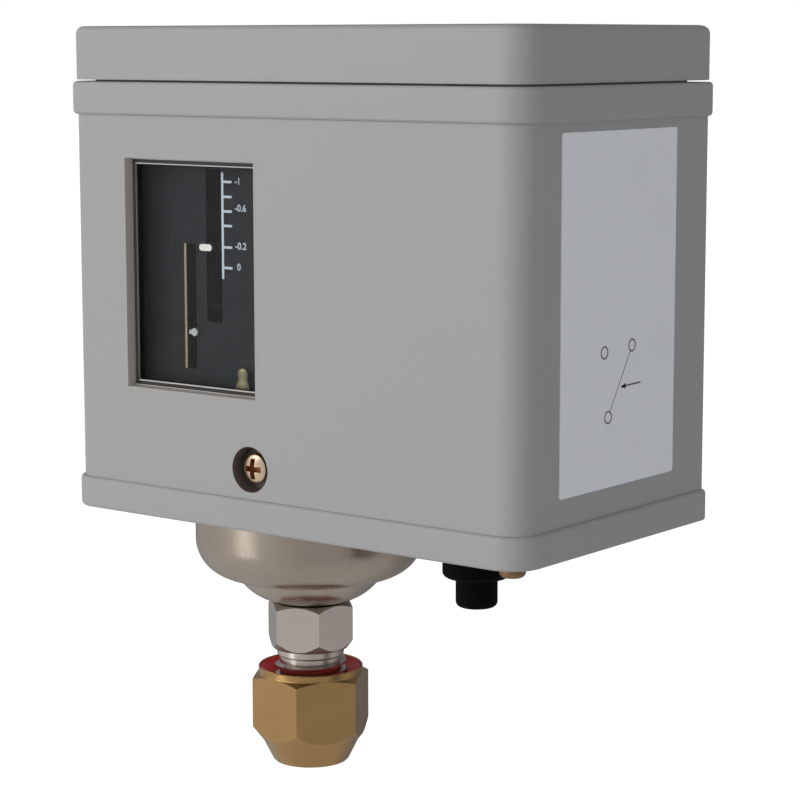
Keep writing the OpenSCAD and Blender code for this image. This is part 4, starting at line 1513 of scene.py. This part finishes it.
@dataclass
class FlareFitting:
    """The bellows cup, the connector, the flare nut and the red ring below the box."""

    finishes: Finishes
    steps: int = 144
    cup_r: float = 17.6 * MM
    cup_t: float = 1.2 * MM
    cup_hole: float = 4.05 * MM
    corner_r: float = 5.9 * MM
    corner_up: float = 10.2 * MM
    nose_r: float = 8.6 * MM
    nose_x: float = 3.9 * MM
    hex_across: float = 12.0 * MM
    hex_h: float = 7.3 * MM
    hex_turn: float = 20.8
    hex_face_r: float = 5.85 * MM
    hex_slopes: tuple = (1.35, 0.78)
    neck: tuple = (5.2 * MM, 1.0 * MM)
    thread_r: float = 5.55 * MM
    root_r: float = 4.85 * MM
    thread_h: float = 11.0 * MM
    pitch: float = 1.27 * MM
    thread_turns: int = 7
    thread_gap: float = 0.45 * MM
    plug_r: float = 4.0 * MM
    port_r: float = 1.5 * MM
    tip_r: float = 3.4 * MM
    nut_across: float = 16.3 * MM
    nut_turn: float = -4.0
    nut_ring: tuple = (8.1 * MM, 1.05 * MM)
    nut_shoulder: float = 0.5
    nut_neck: tuple = (7.45 * MM, 3.3 * MM)
    nut_cone: float = 1.3
    nut_end: tuple = (5.95 * MM, 5.65 * MM, 0.3 * MM)
    nut_mouth: tuple = (7.85 * MM, 2.1 * MM)
    nut_bore: float = 5.616 * MM
    tube_hole: tuple = (3.25 * MM, 4.134 * MM)
    seal_dish: float = 1.2 * MM

    def build(self) -> dict:
        """Make the pieces.

        Returns:
            The pieces by name.
        """
        return {
            "cup": self._cup(),
            "connector": self._connector(),
            "nut": self._nut(),
            "seal": self._seal(),
        }

    def _standing_for(
        self, mesh: bmesh.types.BMesh, node: str, finish: str
    ) -> bpy.types.Object:
        """Finish a piece that stands for a CAD node.

        Args:
            mesh: the piece's shape.
            node: the CAD node's name.
            finish: the finish's name.

        Returns:
            The piece.
        """
        piece = added(mesh, node + "_skin")
        shaded(piece, 32.0)
        self.finishes.paint(piece, finish)
        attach(piece, bpy.data.objects[node]["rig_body"])
        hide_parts(node)
        return piece

    @staticmethod
    def _foot(node: str) -> Vector:
        """The lowest point of a node on the fitting's axis."""
        low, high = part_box(node)
        return Vector(((low.x + high.x) / 2, (low.y + high.y) / 2, low.z))

    def _cup_line(self, wall: float) -> list:
        """The cup's outline from its rim to its hole.

        Args:
            wall: how far inside the outer face the outline lies.

        Returns:
            The (radius, height) points.
        """
        out = self.cup_r - self.corner_r
        corner = arc((out, self.corner_up), self.corner_r - wall, 0, -90, 20)
        flat = self.corner_up - self.corner_r + wall
        first = math.degrees(math.asin((flat - self.nose_r) / (self.nose_r - wall)))
        last = -math.degrees(math.acos((self.cup_hole - self.nose_x) / (self.nose_r - wall)))
        return corner + arc((self.nose_x, self.nose_r), self.nose_r - wall, first, last, 18)

    def _cup(self) -> bpy.types.Object:
        """The drawn cup round the bellows.

        Returns:
            The cup.
        """
        foot = self._foot("bellows_cup")
        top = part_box("bellows_cup")[1].z - foot.z
        outer = [(self.cup_r, top)] + self._cup_line(0.0)
        inner = [(self.cup_r - self.cup_t, top)] + self._cup_line(self.cup_t)
        mesh = revolved(outer + inner[::-1], foot, self.steps)
        rounded_edges(mesh, 0.15 * MM, 2, 35.0)
        return self._standing_for(mesh, "bellows_cup", "cup_nickel")

    def _connector(self) -> bpy.types.Object:
        """The hexagon with its neck, the threaded stem and the flare, drilled through.

        Returns:
            The connector.
        """
        foot = self._foot("connector")
        thread_low = self.thread_r - self.tip_r
        hex_low = thread_low + self.thread_h
        hex_high = hex_low + self.hex_h
        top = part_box("connector")[1].z - foot.z
        neck_r, neck_h = self.neck
        out = self.hex_across / math.sqrt(3) + 0.1 * MM
        rise = out - self.hex_face_r
        profile = [
            (self.port_r, 0.0),
            (self.tip_r, 0.0),
            (self.root_r, self.root_r - self.tip_r),
            (self.root_r, hex_low - neck_h - (neck_r - self.root_r)),
            (neck_r, hex_low - neck_h),
            (neck_r, hex_low),
            (self.hex_face_r, hex_low),
            (out, hex_low + rise * self.hex_slopes[0]),
            (out, hex_high - rise * self.hex_slopes[1]),
            (self.hex_face_r, hex_high),
            (self.plug_r, hex_high),
            (self.plug_r, top),
            (self.port_r, top),
        ]
        stem = revolved(profile, foot, self.steps)
        self._flats(stem, foot, self.hex_across, self.hex_turn, 0.22 * MM)
        ridge_top = foot.z + hex_low - neck_h - self.thread_gap - self.pitch / 2
        ridge = self._ridge(Vector((foot.x, foot.y, ridge_top)))
        mesh = joined([stem, ridge])
        piece = self._standing_for(mesh, "connector", "fitting_nickel")
        # painted shade: downward faces of the hexagon's lower chamfer get the darker, rougher finish
        piece.data.materials.append(self.finishes.made["under_hexagon_shade"])
        level = foot.z + hex_low
        for polygon in piece.data.polygons:
            centre = polygon.center
            out = math.hypot(centre.x - foot.x, centre.y - foot.y) > neck_r
            if out and polygon.normal.z < -0.3 and level - 0.1 * MM < centre.z < level + 3 * MM:
                polygon.material_index = 1
        return piece

    def _ridge(self, start: Vector) -> bmesh.types.BMesh:
        """The thread's ridge, wound down round the stem from its upper end.

        Args:
            start: the point on the axis at the ridge's upper end.

        Returns:
            The ridge as a closed helical bar.
        """
        crest = 0.1 * self.pitch
        foot = crest + (self.thread_r - self.root_r) * math.tan(math.radians(30))
        inside = self.root_r - 0.08 * MM
        section = [
            (inside, -foot), (self.thread_r, -crest), (self.thread_r, crest), (inside, foot),
        ]
        mesh = bmesh.new()
        verts = [mesh.verts.new(start + Vector((0.0, r, z))) for r, z in section]
        face = mesh.faces.new(verts)
        steps = 60 * self.thread_turns
        bmesh.ops.spin(
            mesh,
            geom=[face] + face.edges[:] + verts,
            cent=start,
            axis=(0, 0, 1),
            dvec=(0, 0, -self.pitch * self.thread_turns / steps),
            angle=-math.tau * self.thread_turns,
            steps=steps,
            use_merge=False,
            use_duplicate=False,
        )
        bmesh.ops.remove_doubles(mesh, verts=mesh.verts, dist=FINE_WELD)
        bmesh.ops.recalc_face_normals(mesh, faces=mesh.faces)
        return mesh

    def _flats(
        self, mesh: bmesh.types.BMesh, foot: Vector, across: float, turn: float, edge: float
    ) -> None:
        """Mill a hexagon on a turned body and break its edges.

        Args:
            mesh: the turned body.
            foot: a point on its axis.
            across: the distance across the flats.
            turn: the direction of a corner in degrees.
            edge: the width of the broken corners.
        """
        flats = set(six_flats(mesh, foot, across, turn))
        corners = [e for e in mesh.edges if len(set(e.link_faces) & flats) == 2]
        bevelled(mesh, corners, edge, 3, False)

    def _nut(self) -> bpy.types.Object:
        """The flare nut: a hexagon turned to a ring above and a cone below.

        Returns:
            The nut.
        """
        foot = self._foot("flare_nut")
        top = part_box("flare_nut")[1].z - foot.z
        out = self.nut_across / math.sqrt(3) + 0.1 * MM
        ring_r, ring_h = self.nut_ring
        neck_r, neck_h = self.nut_neck
        end_r, low_r, end_h = self.nut_end
        mouth_r, mouth_h = self.nut_mouth
        hole_r, hole_h = self.tube_hole
        rim = (ring_r - mouth_r) / 2
        fillet = 0.45 * MM
        profile = [
            (hole_r, 0.0),
            (low_r, 0.0),
            (end_r, end_h),
            (neck_r, neck_h),
            (out, neck_h + (out - neck_r) * self.nut_cone),
            (out, top - ring_h - (out - ring_r) * self.nut_shoulder),
            *arc((ring_r + fillet, top - ring_h + fillet * 0.6), fillet, 243, 180, 6),
            (ring_r, top - rim),
            (ring_r - rim, top),
            (mouth_r, top - rim),
            (mouth_r, top - mouth_h),
            (self.nut_bore, top - mouth_h),
            (self.nut_bore, hole_h + self.nut_bore - hole_r),
            (hole_r, hole_h),
        ]
        mesh = revolved(profile, foot, self.steps)
        self._flats(mesh, foot, self.nut_across, self.nut_turn, 0.3 * MM)
        return self._standing_for(mesh, "flare_nut", "nut_brass")

    def _seal(self) -> bpy.types.Object:
        """The red ring, dished towards the thread.

        Returns:
            The ring.
        """
        low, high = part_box("seal_ring")
        foot = self._foot("seal_ring")
        outer = (high.x - low.x) / 2
        top = high.z - low.z
        inner = self.thread_r + 0.106 * MM
        profile = [
            (inner, 0.0), (outer, 0.0), (outer, top - 0.12 * MM), (outer - 0.12 * MM, top),
            (outer - 0.3 * MM, top - 0.05 * MM), (inner, top - self.seal_dish),
        ]
        mesh = revolved(profile, foot, 96)
        return self._standing_for(mesh, "seal_ring", "seal_red")


@dataclass
class Works:
    """The chassis and the mechanism inside, and the fittings under the floor."""

    finishes: Finishes

    def build(self) -> dict:
        """Dress the pieces.

        Returns:
            The pieces by name.
        """
        made = {}
        dress = {
            "zinc": ("chassis", "spindle_bracket", "main_lever", "diff_lever"),
            "bright_steel": (
                "bracket_screws", "range_spindle", "diff_spindle", "lever_pin", "thrust_rod",
                "block_screws", "terminal_screws", "arm_pin",
            ),
            "brass_parts": (
                "range_nut", "diff_nut", "common_terminal", "upper_terminal", "lower_terminal",
            ),
            "bronze": ("contact_arm",),
            "earth_brass": ("earth_screw", "earth_washer"),
            "cup_nickel": ("element_plate", "lock_ring"),
            "black_rubber": ("cable_gland",),
            "phenolic": ("contact_block",),
            "fibre": ("push_pin",),
        }
        for finish, nodes in dress.items():
            for node in nodes:
                made[node] = softened(node, 0.12 * MM)
                self.finishes.paint(made[node], finish)
        for node, finish in (
            ("range_spring", "spring_wire"),
            ("diff_spring", "spring_wire"),
            ("bellows", "bronze"),
        ):
            made[node] = bpy.data.objects[node]
            self.finishes.paint(made[node], finish)
        return made


@dataclass
class Studio:
    """The camera, the lamps and the pale floor."""

    eye: tuple = (223.88 * MM, -309.226 * MM, 38.352 * MM)
    azimuth: float = 37.655
    pitch: float = 8.353
    roll: float = 0.061
    lens: float = 110.213
    sensor: float = 36.0
    floor_drop: float = 0.05
    sky_level: float = 0.2
    lamps: tuple = (
        ("key", (-0.42, -0.91, 0.06), 0.7, 6.7),
        ("fill", (0.2, -0.9, 0.5), 0.8, 1.3),
        ("side", (0.92, -0.12, -0.15), 0.6, 2.75),
    )
    mirror_mean: float = 0.58
    mirror_swing: float = 0.32
    mirror_streak: float = 1.3
    mirror_above: float = 1.8
    mirror_stripe: float = 0.4
    mirror_dip: float = 0.38
    mirror_low: float = 0.16
    mirror_ways: tuple = (
        (-0.574, -0.819, 0.0), (-0.26, 0.966, 0.0), (0.0, 0.0, -1.0),
        (-0.465, -0.874, -0.14), (-0.5, -0.55, 0.67), (0.98, 0.12, -0.15),
    )
    streak_zone: tuple = (0.972, 0.994)
    above_zone: tuple = (0.84, 0.96)
    stripe_zone: tuple = (0.955, 0.99)
    dip_zone: tuple = (0.3, 0.95)
    floor_half: float = 3.0
    floor_glow: float = 1.2
    floor_share: float = 0.85

    def aim(self) -> bpy.types.Object:
        """Make the camera.

        Returns:
            The camera.
        """
        data = bpy.data.cameras.new("view")
        data.lens = self.lens
        data.sensor_width = self.sensor
        data.sensor_fit = "AUTO"
        camera = bpy.data.objects.new("view", data)
        camera.location = self.eye
        camera.rotation_euler = (
            math.radians(90 - self.pitch),
            math.radians(self.roll),
            math.radians(self.azimuth),
        )
        bpy.context.scene.collection.objects.link(camera)
        bpy.context.scene.camera = camera
        bpy.context.view_layer.update()
        return camera

    def lamp(self, name: str, way: tuple, size: float, power: float) -> None:
        """Hang a soft lamp that faces the object.

        Args:
            name: the lamp's name.
            way: where it hangs, in metres.
            size: the side of its square face in metres.
            power: its power in watts.
        """
        data = bpy.data.lights.new(name, "AREA")
        data.size = size
        data.energy = power
        lamp = bpy.data.objects.new(name, data)
        lamp.location = way
        lamp.rotation_euler = (-Vector(way)).to_track_quat("-Z", "Y").to_euler()
        lamp.visible_glossy = False
        bpy.context.scene.collection.objects.link(lamp)

    @staticmethod
    def ray_kind(graph: Graph, *names: str) -> Wire:
        """Whether a ray is of one of some kinds.

        Args:
            graph: the graph to add the nodes to.
            names: outputs of the Light Path node.

        Returns:
            A wire of 1 or 0.
        """
        total = graph.node("ShaderNodeLightPath", {}, {}, names[0])
        for name in names[1:]:
            total = total + graph.node("ShaderNodeLightPath", {}, {}, name)
        return total.clamped()

    def floor(self) -> None:
        """Make the pale floor: white where it is seen, with the object's shadow on it."""
        low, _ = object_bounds()
        mesh = bmesh.new()
        bmesh.ops.create_grid(mesh, x_segments=1, y_segments=1, size=self.floor_half)
        bmesh.ops.translate(mesh, verts=mesh.verts, vec=(0, 0, low[2] - self.floor_drop))
        stage = added(mesh, "floor")
        graph = Graph.of_material("floor_white")
        matt = graph.node(
            "ShaderNodeBsdfPrincipled", {}, {"Base Color": (0.9, 0.9, 0.9, 1.0), "Roughness": 0.9}
        )
        glow = graph.node(
            "ShaderNodeEmission", {}, {"Color": (1.0, 1.0, 1.0, 1.0), "Strength": self.floor_glow}
        )
        seen = self.ray_kind(graph, "Is Camera Ray", "Is Transmission Ray")
        graph.close(graph.node("ShaderNodeMixShader", {}, {0: seen * self.floor_share, 1: matt, 2: glow}))
        stage.data.materials.append(graph.owner)
        stage.visible_glossy = False
        stage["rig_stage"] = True

    def sky(self) -> None:
        """Make the world: white where it is seen, a soft sweep of light in what is glossy."""
        world = bpy.data.worlds.new("studio")
        graph = Graph(world, "ShaderNodeOutputWorld")
        way = graph.node("ShaderNodeTexCoord", {}, {}, "Generated")
        left, behind, below, streak, above, stripe = (
            graph.node(
                "ShaderNodeVectorMath", {"operation": "DOT_PRODUCT"}, {0: way, 1: aim}, "Value"
            )
            for aim in self.mirror_ways
        )
        seen = self.ray_kind(graph, "Is Camera Ray", "Is Transmission Ray")
        mirrored = self.ray_kind(graph, "Is Glossy Ray")
        sweep = (
            left.clamped().power(2.0) * self.mirror_swing
            + streak.step(*self.streak_zone) * self.mirror_streak
            + above.step(*self.above_zone) * self.mirror_above
            - stripe.step(*self.stripe_zone) * self.mirror_stripe
            - behind.step(*self.dip_zone) * self.mirror_dip
            + below.clamped() * self.mirror_low
            + self.mirror_mean
        )
        level = mirrored * (sweep - self.sky_level) + self.sky_level
        dim = graph.node(
            "ShaderNodeBackground", {}, {"Color": (0.98, 0.985, 1.0, 1.0), "Strength": level}
        )
        white = graph.node(
            "ShaderNodeBackground", {}, {"Color": (1.0, 1.0, 1.0, 1.0), "Strength": 1.0}
        )
        graph.close(graph.node("ShaderNodeMixShader", {}, {0: seen, 1: dim, 2: white}))
        bpy.context.scene.world = world

    def build(self) -> None:
        """Make the floor, the world and the lamps."""
        self.floor()
        self.sky()
        for name, way, size, power in self.lamps:
            self.lamp(name, way, size, power)


def report_points(sight: Sight, parts: dict) -> None:
    """Measure every image point and log how far each is off.

    Args:
        sight: the camera's line of sight.
        parts: the finished pieces by name.
    """
    report = PointReport(sight)
    report.survey()
    box = [parts["cover"], parts["cap"]]
    dial_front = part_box("scale_plate")[0].y
    for name, pieces, measure in (
        ("left", box, Measure.LEFT),
        ("right", box, Measure.RIGHT),
        ("top", [parts["cap"]], Measure.TOP),
        ("bottom", [parts["nut"]], Measure.BOTTOM),
        ("window_upper_left", [parts["cover"]], Measure.UPPER_LEFT),
        ("window_lower_left", [parts["cover"]], Measure.LOWER_LEFT),
        ("window_upper_right", [parts["cover"]], Measure.UPPER_RIGHT),
        ("window_lower_right", [parts["cover"]], Measure.LOWER_RIGHT),
        ("cover_screw", [parts["screw"]], Measure.MIDDLE),
        ("label_upper_left", [parts["label"]], Measure.UPPER_LEFT),
        ("label_lower_right", [parts["label"]], Measure.LOWER_RIGHT),
        ("contact_symbol", [parts["symbol"]], Measure.MIDDLE),
        ("scale_top", [parts["scale_print"]], Measure.TOP),
        ("scale_low", [parts["scale_print"]], Measure.BOTTOM),
        ("number_high", [parts["dial_number_0"]], Measure.MIDDLE),
        ("number_zero", [parts["dial_number_3"]], Measure.MIDDLE),
        ("rivet", [parts["dial_stud"]], Measure.MIDDLE),
        ("range_pointer", [parts["range_pointer"]], Measure.MIDDLE),
        ("diff_pointer", [parts["diff_pointer"]], Measure.MIDDLE),
        ("gland_tip", [parts["cable_gland"]], Measure.BOTTOM),
    ):
        pointing = name in ("range_pointer", "diff_pointer")
        report.add(name, pieces, measure, dial_front if pointing else 1.0)
    report.write()


def main() -> None:
    """Build the looks in order."""
    logging.basicConfig(level=logging.INFO, format="%(name)s: %(message)s")
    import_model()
    scene = bpy.context.scene
    scene.view_settings.view_transform = "Standard"
    cup_low, cup_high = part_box("bellows_cup")
    studio = Studio()
    sight = Sight(studio.aim())
    finishes = Finishes(tuple((cup_low + cup_high) / 2))
    finishes.build()
    parts = {}
    for group in (
        Housing(finishes, sight),
        Dial(finishes, sight),
        FlareFitting(finishes),
        Works(finishes),
    ):
        made = group.build()
        for name, piece in made.items():
            LOG.info("%s: %s, %d faces", type(group).__name__, name, len(piece.data.polygons))
        parts.update(made)
    studio.build()
    report_points(sight, parts)


if __name__ == "__main__":
    main()
